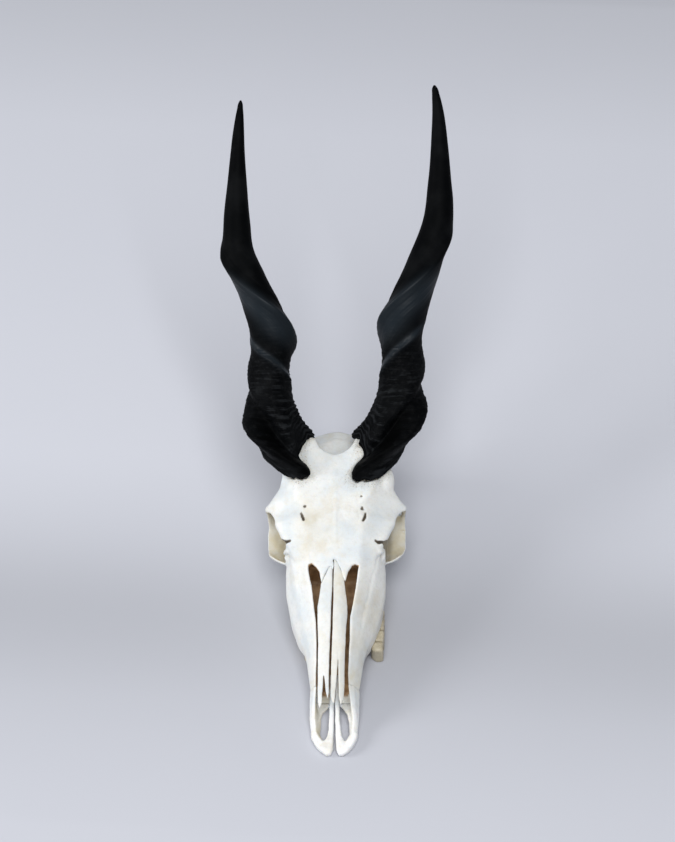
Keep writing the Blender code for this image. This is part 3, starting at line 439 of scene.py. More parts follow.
# Square lamps: place, target and side in metres, and watts
LIGHTS = {
    "side_softbox": ((-5.2, -0.8, 2.6), (0, 0, 0.1), 2.0, 160),
    "top_softbox": ((0.4, -2.0, 4.5), (0, 0, 0), 3.0, 180),
}
SKY, SKY_STRENGTH = (0.93, 0.95, 1.0), 0.29

# The photograph's viewpoint, in the skull's frame, and the directions of its picture
CAMERA_PLACE = (154.9, -1756.9, 2948.6)
CAMERA_AHEAD = (-0.043225, 0.611082, -0.790386)
CAMERA_RIGHT = (0.999022, 0.019024, -0.039926)
CAMERA_UP = (0.009362, 0.791338, 0.611307)
CAMERA_LENS = 117.9


def eased(table, at):
    """A smooth curve through a table of places and values."""
    knots = np.array(sorted(table), float)
    values = np.array([table[knot] for knot in sorted(table)], float)
    slopes = np.gradient(values, knots)
    at = np.clip(np.asarray(at, float), knots[0], knots[-1])
    i = np.clip(np.searchsorted(knots, at) - 1, 0, len(knots) - 2)
    span = knots[i + 1] - knots[i]
    t = (at - knots[i]) / span
    start = (2 * t**3 - 3 * t**2 + 1) * values[i] + (t**3 - 2 * t**2 + t) * span * slopes[i]
    return start + (3 * t**2 - 2 * t**3) * values[i + 1] + (t**3 - t**2) * span * slopes[i + 1]


def rise(low, high, value):
    """0 below low, 1 above high, and smooth between them."""
    share = np.clip((value - low) / (high - low), 0, 1)
    return share * share * (3 - 2 * share)


def fall(low, high, value):
    return 1 - rise(low, high, value)


def hill(start, top, brink, end, value):
    """0 up to start, 1 from top to brink, and 0 again from end on."""
    return rise(start, top, value) * fall(brink, end, value)


def metres(points):
    """Points of the skull's frame as metres about the object's origin."""
    return (np.asarray(points, float) - ORIGIN) * MM


def fitted(points):
    """The points in metres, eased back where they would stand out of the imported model's box."""
    places = metres(points)
    for side, limit in ((1, CAD_BOX[1]), (-1, CAD_BOX[0])):
        beyond = np.maximum(side * (places - np.array(limit, float)) + BOX_EASE, 0)
        places += side * (BOX_EASE * (1 - np.exp(-beyond / BOX_EASE)) - beyond)
    return places


def from_corners(base, share, value_at):
    """A mix of the values at the eight corners round each place, by its share of the way."""
    total = np.zeros(len(base))
    for corner in np.ndindex(2, 2, 2):
        weight = np.prod(np.where(corner, share, 1 - share), axis=1)
        total += value_at(*(base + corner).T) * weight
    return total


def lattice(points, size, seed):
    """Smooth random values from -1 to 1 at places, in lumps of the given size."""
    side = 32
    table = np.random.default_rng(seed).uniform(-1, 1, (side, side, side))
    place = np.asarray(points, float) / size
    base = np.floor(place).astype(int)
    share = rise(0, 1, place - base)
    return from_corners(base, share, lambda i, j, k: table[i % side, j % side, k % side])


def wandered(places, amount, size, seed):
    """The places moved about at random, by up to the amount."""
    return places + amount * np.stack([lattice(places, size, seed + i) for i in range(3)], axis=1)


# Fields


def smooth_min(a, b, blend):
    """The lesser of two fields, rounded over the given blend."""
    if blend <= 0:
        return np.minimum(a, b)
    share = np.clip(blend - np.abs(a - b), 0, None) / blend
    return np.minimum(a, b) - share * share * blend / 4


def smooth_max(a, b, blend):
    return -smooth_min(-a, -b, blend)


def empty_field(low, high, step):
    """A field over a box, with nothing in it."""
    axes = [np.arange(a, b + step, step, dtype=np.float32) for a, b in zip(low, high)]
    return Field(step, axes, np.full([len(axis) for axis in axes], BAND, np.float32))


class Field:
    """Distances to a bone's surface on a grid: negative inside the bone, positive outside.
    A shape is its box's lowest and highest corner and its distance(x, y, z)."""

    def __init__(self, step, axes, value):
        self.step = step
        self.axes = axes
        self.value = value

    def window(self, low, high, margin):
        """The part of the grid near a box, and its coordinates."""
        part = []
        for axis, a, b in zip(self.axes, low, high):
            start, stop = np.searchsorted(axis, [a - margin, b + margin])
            part.append(slice(int(start), int(stop)))
        x, y, z = (axis[cut] for axis, cut in zip(self.axes, part))
        return tuple(part), (x[:, None, None], y[None, :, None], z[None, None, :])

    def add(self, shape, blend=0.0):
        low, high, distance = shape
        part, places = self.window(low, high, BAND + blend)
        if self.value[part].size:
            self.value[part] = smooth_min(self.value[part], distance(*places), blend)

    def carve(self, shape, blend=0.0, gap=0.0):
        low, high, distance = shape
        part, places = self.window(low, high, BAND + blend + gap)
        if self.value[part].size:
            self.value[part] = smooth_max(self.value[part], gap - distance(*places), blend)

    def soften(self, spread):
        """Averages values over the given spread in millimetres, which rounds edges."""
        value = np.clip(self.value, -BAND, BAND)
        for _ in range(max(1, round(2 * spread**2 / self.step**2))):
            for axis in range(3):
                places = np.arange(value.shape[axis])
                before = value.take(np.maximum(places - 1, 0), axis)
                after = value.take(np.minimum(places + 1, places[-1]), axis)
                value = 0.25 * before + 0.5 * value + 0.25 * after
        self.value = value

    def mirrored(self):
        """Both halves, from a half whose grid starts at the midline."""
        across = np.concatenate([-self.axes[0][:0:-1], self.axes[0]])
        value = np.concatenate([self.value[:0:-1], self.value])
        return Field(self.step, [across] + self.axes[1:], value)

    def lean(self, shift):
        """Moves the lines along X sideways by shift(y, z)."""
        x, y, z = self.axes
        amounts = shift(y[:, None], z[None, :])
        for j, k in zip(*np.nonzero(amounts)):
            self.value[:, j, k] = np.interp(x - amounts[j, k], x, self.value[:, j, k])

    def press(self, relief):
        """Pushes the surface in by relief(places), in millimetres, and out where it is below 0."""
        near = np.nonzero(np.abs(self.value) < 3)
        places = np.stack([axis[i] for axis, i in zip(self.axes, near)], axis=1)
        self.value[near] += relief(places).astype(np.float32)

    def at(self, points):
        """The field's values at points, in the skull's frame."""
        place = [(points[:, i] - axis[0]) / self.step for i, axis in enumerate(self.axes)]
        place = np.stack([np.clip(p, 0, len(a) - 1.001) for p, a in zip(place, self.axes)], axis=1)
        base = place.astype(int)
        return from_corners(base, place - base, lambda i, j, k: self.value[i, j, k])

    def mesh(self, name, side=1):
        """A mesh of the zero surface, mirrored for side -1."""
        grid = openvdb.FloatGrid(background=BAND)
        grid.copyFromArray(np.ascontiguousarray(np.clip(self.value, -BAND, BAND)))
        points, quads = grid.convertToQuads(isovalue=0.0)
        points = points * self.step + [axis[0] for axis in self.axes]
        return mesh_from(points * [side, 1, 1], quads, name)


def ellipsoid(centre, radii):
    def distance(x, y, z):
        u, v, w = ((p - c) / r for p, c, r in zip((x, y, z), centre, radii))
        near = np.sqrt(u * u + v * v + w * w)
        slope = np.sqrt((u / radii[0]) ** 2 + (v / radii[1]) ** 2 + (w / radii[2]) ** 2)
        return near * (near - 1) / np.maximum(slope, TINY)

    low = [c - r for c, r in zip(centre, radii)]
    high = [c + r for c, r in zip(centre, radii)]
    return low, high, distance


def bar(knots, flatten=(1.0, 1.0, 1.0)):
    """A bar through (x, y, z, radius) knots, thinner along the axes whose flatten is above 1."""
    knots = np.array(knots, float)
    scale = np.array(flatten, float)
    ends, radii = knots[:, :3] * scale, knots[:, 3]

    def distance(x, y, z):
        place = (x * scale[0], y * scale[1], z * scale[2])
        nearest = FAR
        for start, end, r0, r1 in zip(ends[:-1], ends[1:], radii[:-1], radii[1:]):
            along = end - start
            away = [p - q for p, q in zip(place, start)]
            share = np.clip(dot(away, along) / (along @ along), 0, 1)
            gap = np.sqrt(sum((a - share * b) ** 2 for a, b in zip(away, along)))
            nearest = np.minimum(nearest, gap - (r0 + (r1 - r0) * share))
        return nearest / scale.max()

    reach = radii.max()
    return knots[:, :3].min(axis=0) - reach, knots[:, :3].max(axis=0) + reach, distance


def dot(a, b):
    return sum(p * q for p, q in zip(a, b))


def polygon_distance(across, up, corners):
    """Distance from places of a plane to a polygon's edge, negative inside it."""
    shape = np.broadcast(across, up).shape
    inside = np.zeros(shape, bool)
    nearest = np.full(shape, FAR, np.float32)
    for (ax, ay), (bx, by) in zip(corners, np.roll(corners, -1, axis=0)):
        wx, wy = across - ax, up - ay
        ex, ey = bx - ax, by - ay
        if abs(ey) > TINY:
            inside ^= ((ay > up) != (by > up)) & (across < ax + wy * ex / ey)
        share = np.clip((wx * ex + wy * ey) / max(ex * ex + ey * ey, TINY), 0, 1)
        nearest = np.minimum(nearest, (wx - ex * share) ** 2 + (wy - ey * share) ** 2)
    return np.where(inside, -1, 1) * np.sqrt(nearest)


def plan_distance(x, y, plan):
    """Distance from an outline in plan, the same at every height."""
    return polygon_distance(x[:, :, 0], y[:, :, 0], plan)[:, :, None]


def refined(section, count):
    """The section with points added halfway along its longest edges, up to the given count."""
    section = [tuple(map(float, point)) for point in section]
    while len(section) < count:
        lengths = [math.dist(a, b) for a, b in zip(section, section[1:])]
        i = lengths.index(max(lengths))
        a, b = section[i], section[i + 1]
        section.insert(i + 1, ((a[0] + b[0]) / 2, (a[1] + b[1]) / 2))
    return section


def loft(table, ends, rounding=6.0, half=True):
    """A solid through sections at stations along Y, with rounded ends. A half section reaches
    from the midline to the midline, and is carried past it so that the midline is no edge."""
    stations = sorted(table)
    count = max(len(section) for section in table.values())
    rows = np.array([refined(table[station], count) for station in stations])
    past = 40.0

    def section_at(y):
        places = [[np.interp(y, stations, row) for row in point.T] for point in rows.swapaxes(0, 1)]
        section = np.array(places)
        if half:
            section = np.vstack([[-past, section[0, 1]], section, [-past, section[-1, 1]]])
        return section

    def distance(x, y, z):
        across = np.abs(x[:, 0, :]) if half else x[:, 0, :]
        layers = [polygon_distance(across, z[:, 0, :], section_at(float(at))) for at in y[0, :, 0]]
        return smooth_max(np.stack(layers, axis=1), np.maximum(ends[0] - y, y - ends[1]), rounding)

    low = (-rows[..., 0].max() if half else rows[..., 0].min(), ends[0], rows[..., 1].min())
    high = (rows[..., 0].max(), ends[1], rows[..., 1].max())
    return low, high, distance


def column(plan, bottom, top, rounding=0.0):
    """A plan outline in X and Y, raised from bottom to top."""
    plan = np.array(plan, float)

    def distance(x, y, z):
        return smooth_max(plan_distance(x, y, plan), np.maximum(bottom - z, z - top), rounding)

    return (*plan.min(axis=0), bottom), (*plan.max(axis=0), top), distance


def plate(plan, top, thickness, arch=0.0, edge=0.0):
    """A plate in the outline of its plan. Its upper side and its thickness are tables along Y; the
    arch bends it down towards its sides. Heights count nine tenths, since those sides slant."""
    plan = np.array(plan, float)
    middle = plan[:, 0].mean()

    def distance(x, y, z):
        height = np.interp(y, list(top), list(top.values())) - arch * (x * x + (x - middle) ** 2)
        half = np.interp(y, list(thickness), list(thickness.values())) / 2
        return smooth_max(plan_distance(x, y, plan), 0.9 * (np.abs(z - height + half) - half), edge)

    heights = list(top.values())
    low = (*plan.min(axis=0), min(heights) - max(thickness.values()) - 6)
    return low, (*plan.max(axis=0), max(heights)), distance


# Horns


def lump(angle, width, sharpness=1.6):
    """A ridge of height 1 at angle 0, rounder the higher its sharpness number is."""
    angle = (angle + math.pi) % (2 * math.pi) - math.pi
    return np.exp(-np.abs(angle / width) ** sharpness)


def turn_of(horn, s, which="turn"):
    return np.radians(eased(horn[which], s))


def horn_radius(horn, s, angle):
    """The sheath's outer radius: round, with a main keel, a groove above it and a lesser rib."""
    from_keel = angle - turn_of(horn, s)
    sharpness = eased(KEEL_SHARPNESS, s)
    radius = eased(horn["girth"], s)
    radius = radius + eased(horn["keel"], s) * lump(from_keel, eased(KEEL_WIDTH, s), sharpness)
    from_rib = angle - turn_of(horn, s, "rib_turn")
    radius += eased(horn["rib"], s) * lump(from_rib, RIB_WIDTH, eased(RIB_SHARPNESS, s))
    for at, along, width, span, height in horn["lobes"]:
        lobe = lump(angle - math.radians(at), width, 2.0)
        radius += height * lobe * np.exp(-(((s - along) / span) ** 2))
    return radius - eased(HORN_GROOVE, s) * lump(from_keel + GROOVE_PLACE, GROOVE_WIDTH, sharpness)


def hollow_radius(horn, s, angle):
    """The radius of the hollow inside the sheath, which bulges a little under the main keel."""
    bulge = lump(angle - turn_of(horn, s) - HOLLOW_BULGE_PLACE, HOLLOW_BULGE_WIDTH)
    round_part = eased(HOLLOW_GIRTH, s) * eased(horn["girth"], s)
    return round_part + HOLLOW_KEEL * eased(horn["keel"], s) * bulge


def horn_axis(horn, s):
    """The axis at s, as distances inwards and to the front of the root's line."""
    return -eased(horn["axis"], s), eased(HORN_SWAY, s) * np.sin(turn_of(horn, s))


def horn_point(horn, s, angle, radius):
    s = np.asarray(s, float)
    inner, sway = horn_axis(horn, s)
    across = (inner + radius * np.cos(angle))[..., None]
    out = (sway + radius * np.sin(angle))[..., None]
    inwards = np.array([-horn["side"], 0.0, 0.0])
    return HORN_ROOT + s[..., None] * HORN_ALONG + across * inwards + out * HORN_FRONT


def horn_coordinates(horn, x, y, z):
    """s, angle and distance from the axis of places in the skull's frame."""
    away = [p - q for p, q in zip((x, y, z), HORN_ROOT)]
    s = dot(away, HORN_ALONG)
    inner, sway = horn_axis(horn, s)
    across = dot(away, np.array([-horn["side"], 0.0, 0.0])) - inner
    out = dot(away, HORN_FRONT) - sway
    return s, np.arctan2(out, across), np.hypot(out, across)


def rim_place(horn, angle):
    place = eased(horn["rim"], np.degrees(angle) % 360)
    return place + sum(a * np.sin(n * angle + phase) for a, n, phase in RIM_WAVES)


def rim_share(horn, angle, s):
    """Places along the horn for rings that start on the wavy rim and are level from RIM_FADE."""
    rim = rim_place(horn, angle)
    return np.where(s >= RIM_FADE, s, rim + (RIM_FADE - rim) * (s / RIM_FADE))


def sheath_distance(horn, x, y, z):
    """Roughly how far places are from the sheath."""
    s, angle, away = horn_coordinates(horn, x, y, z)
    return np.maximum(away - horn_radius(horn, s, angle), rim_place(horn, angle) - s)


def stump_distance(horn, x, y, z):
    """How far places are from the stump of the core inside the sheath."""
    s, angle, away = horn_coordinates(horn, x, y, z)
    ends = np.maximum(STUMP_ENDS[0] - s, s - STUMP_ENDS[1])
    return smooth_max(away - hollow_radius(horn, s, angle) + CORE_GAP, ends, STUMP_ROUNDING)


def horn_base(horn, distance):
    """The lower part of a horn as a shape, by one of the distances above."""
    (inner, *low), (outer, *high) = HORN_BASE_BOX
    near, far = sorted((horn["side"] * inner, horn["side"] * outer))
    return (near, *low), (far, *high), lambda x, y, z: distance(horn, x, y, z)


def growth_relief(horn, s, age, angle):
    """How far the growth rings, wrinkles and streaks stand out of a sheath. age is the distance
    from the rim along the horn, so that the lowest rings run parallel to the rim."""
    seed = 11 if horn["side"] < 0 else 12

    def roughness(around, turns, lengths, size, number):
        place = np.stack([turns * np.cos(around), turns * np.sin(around), lengths], axis=-1)
        return lattice(place.reshape(-1, 3), size, seed + number).reshape(s.shape)

    coarse = np.cos(2 * math.pi * (age / COARSE_SPACING + 0.4 * roughness(angle, 4, age / 12, 3.0, 0)))
    inner = 0.25 + 0.75 * lump(angle + 0.2, 1.0, 2.0)
    patchy = 0.7 + 0.5 * roughness(angle, 4, age / 12 + 40, 2.2, 0)
    wave = age / FINE_SPACING + 0.9 * roughness(angle, 5, age / 14, 2.0, 6)
    fine = 0.5 * np.cos(2 * math.pi * wave) * (0.7 + 0.5 * roughness(angle, 9, age / 6, 2.0, 7))
    fine += 0.8 * roughness(angle, 6, 2.6 * age / FINE_SPACING, 2.6, 2)
    fine += 0.4 * roughness(angle, 24, age / 1.4, 2.0, 9)
    turned = angle - turn_of(horn, s)
    streaks = roughness(turned, 30, age / 40, 1.6, 8)
    flakes = np.abs(roughness(turned, 34, age / 2.2, 2.0, 4)) - 0.45
    flakes = flakes + 0.7 * roughness(turned, 30, age / 7, 1.3, 5)
    relief = eased(COARSE_RINGS, s) * inner * patchy * coarse + eased(FINE_RINGS, s) * fine
    return relief + eased(STREAKS, s) * streaks + eased(FLAKES, s) * flakes


def sheath_grid(horn):
    """Rings from the bottom of the hollow, out over the rim and up the outside to the tip:
    points, and each point's place along the horn, share of painted sheen, and crest: the height of
    relief and the worn rim, as painted highlights, less painted shade in the groove beside the keel."""
    spread = np.linspace(0, 2 * math.pi, SHEATH_SIDES, endpoint=False)
    stations = np.array(HOLLOW_STATIONS, float)[:, None]
    angle = spread + turn_of(horn, 0.0)
    inner_s = rim_share(horn, angle, stations)
    inside = horn_point(horn, inner_s, angle, hollow_radius(horn, inner_s, angle))
    stations = np.arange(0, horn["tip"] - 2, SHEATH_RING_STEP)
    stations = np.append(stations, horn["tip"] - np.array(LAST_RINGS))[:, None]
    angle = spread + turn_of(horn, stations)
    s = rim_share(horn, angle, stations)
    age = np.broadcast_to(stations, s.shape)
    relief = growth_relief(horn, s, age, angle)
    radius = horn_radius(horn, s, angle) + relief - LIP_DEPTH * fall(0, LIP_WIDTH, age) ** 2
    outside = horn_point(horn, s, angle, radius)
    groove = lump(angle - turn_of(horn, stations) + GROOVE_PLACE, HOLLOW_SHADE_WIDTH, 2.0)
    # crest: relief and worn rim, painted lighter as highlights, less painted shade in the groove
    crest = relief + RIM_WEAR * fall(-5, 30, s) - HOLLOW_SHADE * groove * fall(40, 85, s)
    plain = np.zeros(inner_s.shape)
    pairs = (inside, outside), (inner_s, s), (plain, sheath_sheen(horn, s, angle)), (plain, crest)
    return [np.concatenate(pair) for pair in pairs]


def sheath_sheen(horn, s, angle):
    """How much a sheath's smooth middle shines: between the keels, and along the crest of each."""
    from_keel = angle - turn_of(horn, s)
    from_rib = angle - turn_of(horn, s, "rib_turn")
    middle = lump(from_keel - SHEEN_PLACE, SHEEN_WIDTH, 2.0) + 0.6 * lump(from_keel, 0.3)
    ridge = lump(from_rib + 0.2, 0.24, 2.0)
    return hill(125, 165, 205, 250, s) * middle + hill(92, 106, 150, 175, s) * ridge


def ring_faces(count, sides):
    """Faces of a tube of rings, closed by fans round the last two points."""
    i, j = np.meshgrid(np.arange(count - 1), np.arange(sides), indexing="ij")
    k = (j + 1) % sides
    walls = np.stack([i * sides + j, i * sides + k, (i + 1) * sides + k, (i + 1) * sides + j], -1)
    last = (count - 1) * sides
    fans = []
    for j in range(sides):
        k = (j + 1) % sides
        fans.append((k, j, count * sides))
        fans.append((last + j, last + k, count * sides + 1))
    return walls.reshape(-1, 4).tolist() + fans


# Bones


def braincase(field):
    field.add(ellipsoid((0, 362, 90), (57, 54, 43)), 6)
    field.add(ellipsoid((0, 390, 86), (60, 25, 38)), 8)
    field.add(bar([(0, 408, 112, 9), (30, 402, 106, 9), (53, 392, 84, 8)]), 8)


def cheek_bowl(field):
    """The cheekbone's bowl under the eye, with the orbit carved out of it."""
    field.add(ellipsoid(*BOWL), 8)
    field.carve(ellipsoid(*SOCKET), 3)
    field.carve(orbit_front(), 1.5)


def orbit_front():
    low, high, inside = ellipsoid(*ORBIT_FRONT)

    def distance(x, y, z):
        return np.maximum(inside(x, y, z), ORBIT_FRONT_SIDE - x)

    return (ORBIT_FRONT_SIDE, *low[1:]), high, distance


def cheek_arch(field):
    """The bar behind the orbit and the arch that runs back to the ear."""
    field.add(bar([(87, 299, 106, 4.5), (86, 303, 88, 4), (83, 300, 66, 6)], (1.5, 1, 1)), 4)
    arch = [(76, 270, 56, 7), (83, 292, 60, 7), (80, 318, 66, 6), (72, 345, 72, 6), (58, 372, 80, 8)]
    field.add(bar(arch, (1.6, 1, 1)), 5)


def skull_base(field):
    """The keel under the braincase, the hinge and ear bulges, the ear's point and the palate's wing."""
    field.add(bar([(0, 255, 42, 12), (0, 330, 48, 15), (0, 400, 44, 16)], (1, 1, 1.2)), 8)
    field.add(ellipsoid((21, 408, 50), (13, 13, 17)), 5)
    field.add(ellipsoid((27, 366, 43), (13, 16, 16)), 4)
    field.add(bar([(48, 392, 60, 13), (46, 396, 30, 9), (44, 394, 5.6, 6)], (1, 1.6, 1)), 6)
    field.add(bar([(22, 262, 34, 5), (22, 298, 30, 5), (20, 320, 44, 6)], (2.0, 1, 1)), 5)


def brain_space(field):
    field.carve(ellipsoid(*BRAIN_SPACE), 2)
    field.carve(bar([(0, 375, 74, 14), (0, 440, 60, 15)]), 3)


def maxilla_hollow(field):
    """The long hollow beside the nasal bones."""
    field.carve(bar([(48, 232, 118, 3), (49, 190, 94, 5), (36, 140, 76, 4), (29, 100, 58, 3)]), 10)


def half_cranium():
    """One half of the cranium, from the midline outwards. The face is softened more behind the muzzle."""
    roof = empty_field(*HALF_SPACE, CRANIUM_GRID)
    roof.add(loft(FRONTAL, FRONTAL_ENDS))
    roof.carve(column(CREST_NOTCH, CREST_NOTCH_FLOOR, 190), 4)
    roof.soften(ROOF_SOFTNESS)
    field = empty_field(*HALF_SPACE, CRANIUM_GRID)
    field.add(loft(FACE, FACE_ENDS))
    braincase(field)
    maxilla_hollow(field)
    field.soften(MUZZLE_SOFTNESS)
    muzzle = field.value
    field.soften(FACE_SOFTNESS)
    y = field.axes[1][None, :, None]
    field.value = muzzle + rise(*MUZZLE_FADE, y).astype(np.float32) * (field.value - muzzle)
    field.value = np.maximum(field.value, FACE_FRONT - y)
    cheek_bowl(field)
    field.value = smooth_min(field.value, roof.value, 6)
    cheek_arch(field)
    skull_base(field)
    field.carve(loft(NASAL_CAVITY, NASAL_CAVITY_ENDS), 2)
    field.carve(ellipsoid(*DISH), 3)
    field.add(plate(PALATE_FRONT, PALATE_TOP, PALATE_THICKNESS, edge=0.5), 2)
    brain_space(field)
    return field


def cranium_field():
    field = half_cranium().mirrored()
    field.lean(palate_shift)
    field.add(ellipsoid(*LEFT_SWELLING), 6)
    field.carve(plate(NOSE_OPENING, NOSE_OPENING_TOP, NOSE_OPENING_DEPTH), 1)
    for plan in NASAL_PLANS.values():
        field.carve(nasal_plate(plan), 0, SUTURE_GAP)
    for knots in SPURS:
        field.add(bar(knots), 2)
    for knots in HOLES:
        field.carve(bar(knots, HOLE_FLATTEN), 0.6)
    field.carve(tooth_sockets(), 0.5)
    for horn in HORNS.values():
        field.carve(horn_base(horn, sheath_distance), 0, SHEATH_GAP)
        field.add(horn_base(horn, stump_distance), 2)
    field.soften(CRANIUM_SOFTNESS)
    field.press(bone_relief)
    return field


def bone_relief(places):
    """Shallow unevenness of the bone, the wrinkles round the horns, and the pressed lines."""
    x, y, z = places.T
    relief = 0.35 * lattice(places, 14, 1) + 0.12 * lattice(places, 5, 2)
    for horn in HORNS.values():
        s, angle, _ = horn_coordinates(horn, x, y, z)
        rays = np.stack([9 * np.cos(angle), 9 * np.sin(angle), s / 18], axis=1)
        rough = 0.55 * lattice(rays, 0.55, 3) + 0.5 * np.abs(lattice(places, 4, 4))
        relief += fall(1, 15, sheath_distance(horn, x, y, z)) * rough
    wandering = wandered(places, SCORE_WANDER, 5, 20)
    for line, sides, width, depth in SCORES:
        for side in sides:
            low, high, distance = bar([(side * at_x, at_y, at_z, 0) for at_x, at_y, at_z in line])
            near = np.all((places > low - 3 * width) & (places < high + 3 * width), axis=1)
            relief[near] += depth * np.exp(-((distance(*wandering[near].T) / width) ** 2))
    at, front, back, height = MIDLINE_RIDGE
    along = hill(front - 6, front + 6, back - 30, back, y)
    return relief - height * along * np.exp(-(((x - at) / 2) ** 2)) * (z > 100)


def palate_shift(y, z):
    """How far the tooth rows and the palate lie over to the animal's left."""
    return PALATE_SHIFT * fall(8, 22, z) * hill(112, 140, 262, 300, y)


def nasal_plate(plan):
    return plate(plan, NASAL_RIDGE, NASAL_THICKNESS, NASAL_ARCH, 0.8)


def nasal_field(plan):
    low, high, _ = nasal_plate(plan)
    field = empty_field([value - 3 for value in low], [value + 3 for value in high], SMALL_BONE_GRID)
    field.add(nasal_plate(plan))
    field.soften(0.4)
    field.press(lambda places: 0.22 * lattice(places / [1, 4, 1], 5, 5) + 0.1 * lattice(places, 3, 6))
    return field


def premaxilla_field(word):
    """A premaxilla, on the left side: outer limb, inner bar, the body that joins them in front,
    and the floor between the limb and the palate."""
    field = empty_field(*PREMAXILLA_SPACE, SMALL_BONE_GRID)
    field.add(loft(PREMAXILLA_LIMBS[word], PREMAXILLA_LIMB_ENDS, 2.0, half=False))
    floor = PREMAXILLA_FLOORS[word] + PREMAXILLA_FLOOR_BACK
    field.add(column(floor, *PREMAXILLA_FLOOR_HEIGHTS), 3)
    field.add(plate(PREMAXILLA_PLANS[word], PREMAXILLA_TOP, PREMAXILLA_THICKNESS, edge=2.2), 3)
    field.soften(0.9)
    limb = field.axes[0] > PREMAXILLA_BAR_SIDE
    behind = field.axes[1][None, :, None] - PREMAXILLA_BACK
    field.value[limb] = np.maximum(field.value[limb], behind)
    seed = 7 if word == "left" else 17
    field.press(lambda places: 0.3 * lattice(places, 7, seed) + 0.12 * lattice(places, 2.6, seed + 1))
    return field


# Teeth


def tooth_plan(side, front, back, outer, width):
    """The crown's outline in plan: lobes on the inner side, ribs on the outer side."""
    if side < 0:
        outer -= 2 * PALATE_SHIFT
    lobes = 2 if back - front > TWO_LOBES else 1
    along = np.linspace(0, 1, 12 * lobes + 1)
    phase = 2 * math.pi * lobes * along
    bulges = 0.86 + 0.14 * np.sqrt(np.abs(np.sin(phase / 2)))
    inner = width * bulges * np.sin(math.pi * (0.12 + 0.76 * along)) ** 0.35
    corners = 2.4 * np.abs(2 * along - 1) ** 7
    ribs = 0.9 * np.cos(phase) * (0.5 + 0.5 * np.cos(phase)) - 0.4 - corners
    y = front - 0.2 + (back - front + 0.4) * along
    outline = [(side * (outer + rib - 0.5), at) for rib, at in zip(ribs, y)]
    outline += [(side * (outer - reach), at) for reach, at in zip(inner[::-1], y[::-1])]
    return np.array(outline), lobes


def tooth_field(side, numbers):
    """One tooth: a crown with crescent-shaped pits in its chewing surface."""
    plan, lobes = tooth_plan(side, *numbers)
    front, back, _, width = numbers
    low, high = plan.min(axis=0), plan.max(axis=0)
    field = empty_field((*(low - 3), -3), (*(high + 3), TOOTH_ROOT + 3), TOOTH_GRID)
    field.add(column(plan, 0, TOOTH_ROOT, TOOTH_ROUNDING))
    length = (back - front) / lobes
    bow = width * 0.16
    for i in range(lobes):
        y = front + length * (i + 0.5)
        for at in (-0.16, 0.2):
            x = plan[:, 0].mean() + side * width * at
            horns = [(x + side * bow * 0.6, y + end * 0.34 * length, -0.6, 0.5) for end in (-1, 1)]
            pit = [horns[0], (x - side * bow * 0.5, y, -0.8, 1.5), horns[1]]
            field.carve(bar(pit, (1, 1, 0.8)), 0.4)
    field.soften(1.0)
    field.press(lambda places: 0.4 * lattice(places / [1, 1, 3], 4, 9) - 0.25)
    return field


def tooth_sockets():
    """All sockets, in the outlines of the teeth."""
    plans = [tooth_plan(side, *numbers)[0] for side in (-1, 1) for numbers in TEETH.values()]
    corners = np.vstack(plans)

    def distance(x, y, z):
        flat = FAR
        for plan in plans:
            flat = np.minimum(flat, plan_distance(x, y, plan))
        return np.maximum(flat - SOCKET_GAP, z - TOOTH_ROOT - SOCKET_GAP)

    return (*corners.min(axis=0), -6), (*corners.max(axis=0), TOOTH_ROOT), distance


# Meshes


def mesh_from(points, faces, name):
    """A mesh in metres whose faces point outwards."""
    faces = np.asarray(faces)
    corners = points[faces[:, :3]]
    normals = np.cross(corners[:, 1] - corners[:, 0], corners[:, 2] - corners[:, 0])
    if (normals * corners.mean(axis=1)).sum() < 0:
        faces = faces[:, ::-1]
    mesh = bpy.data.meshes.new(name)
    mesh.vertices.add(len(points))
    mesh.vertices.foreach_set("co", fitted(points).astype(np.float32).ravel())
    mesh.loops.add(faces.size)
    mesh.loops.foreach_set("vertex_index", faces.astype(np.int32).ravel())
    mesh.polygons.add(len(faces))
    mesh.polygons.foreach_set("loop_start", np.arange(0, faces.size, 4, dtype=np.int32))
    mesh.update()
    mesh.validate()
    mesh.shade_smooth()
    return mesh


def rows_of(items, name):
    """The three numbers that each item stores under a name."""
    numbers = np.empty(len(items) * 3, np.float32)
    items.foreach_get(name, numbers)
    return numbers.reshape(-1, 3)


def points_of(mesh):
    """The mesh's points in the skull's frame."""
    return rows_of(mesh.vertices, "co") / MM + ORIGIN


def paint(mesh, name, values):
    """Stores a number for each point, which the material reads."""
    layer = mesh.attributes.new(name, "FLOAT", "POINT")
    layer.data.foreach_set("value", np.asarray(values, np.float32))


def placed(name, data):
    """A new object in the scene."""
    made = bpy.data.objects.new(name, data)
    bpy.context.scene.collection.objects.link(made)
    return made


def piece(name, mesh, finish, node):
    """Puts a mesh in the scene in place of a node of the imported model."""
    made = placed(name, mesh)
    mesh.materials.append(finish)
    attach(made, "root")
    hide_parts(node)


def thinned(mesh, triangles):
    """The mesh with its flatter parts merged, down to a number of triangles."""
    share = triangles / (2 * len(mesh.polygons))
    if share >= 1:
        return mesh
    made = placed("thinning", mesh)
    made.modifiers.new("thin", "DECIMATE").ratio = share
    depsgraph = bpy.context.evaluated_depsgraph_get()
    thin = bpy.data.meshes.new_from_object(made.evaluated_get(depsgraph), depsgraph=depsgraph)
    bpy.data.objects.remove(made)
    thin.shade_smooth()
    return thin


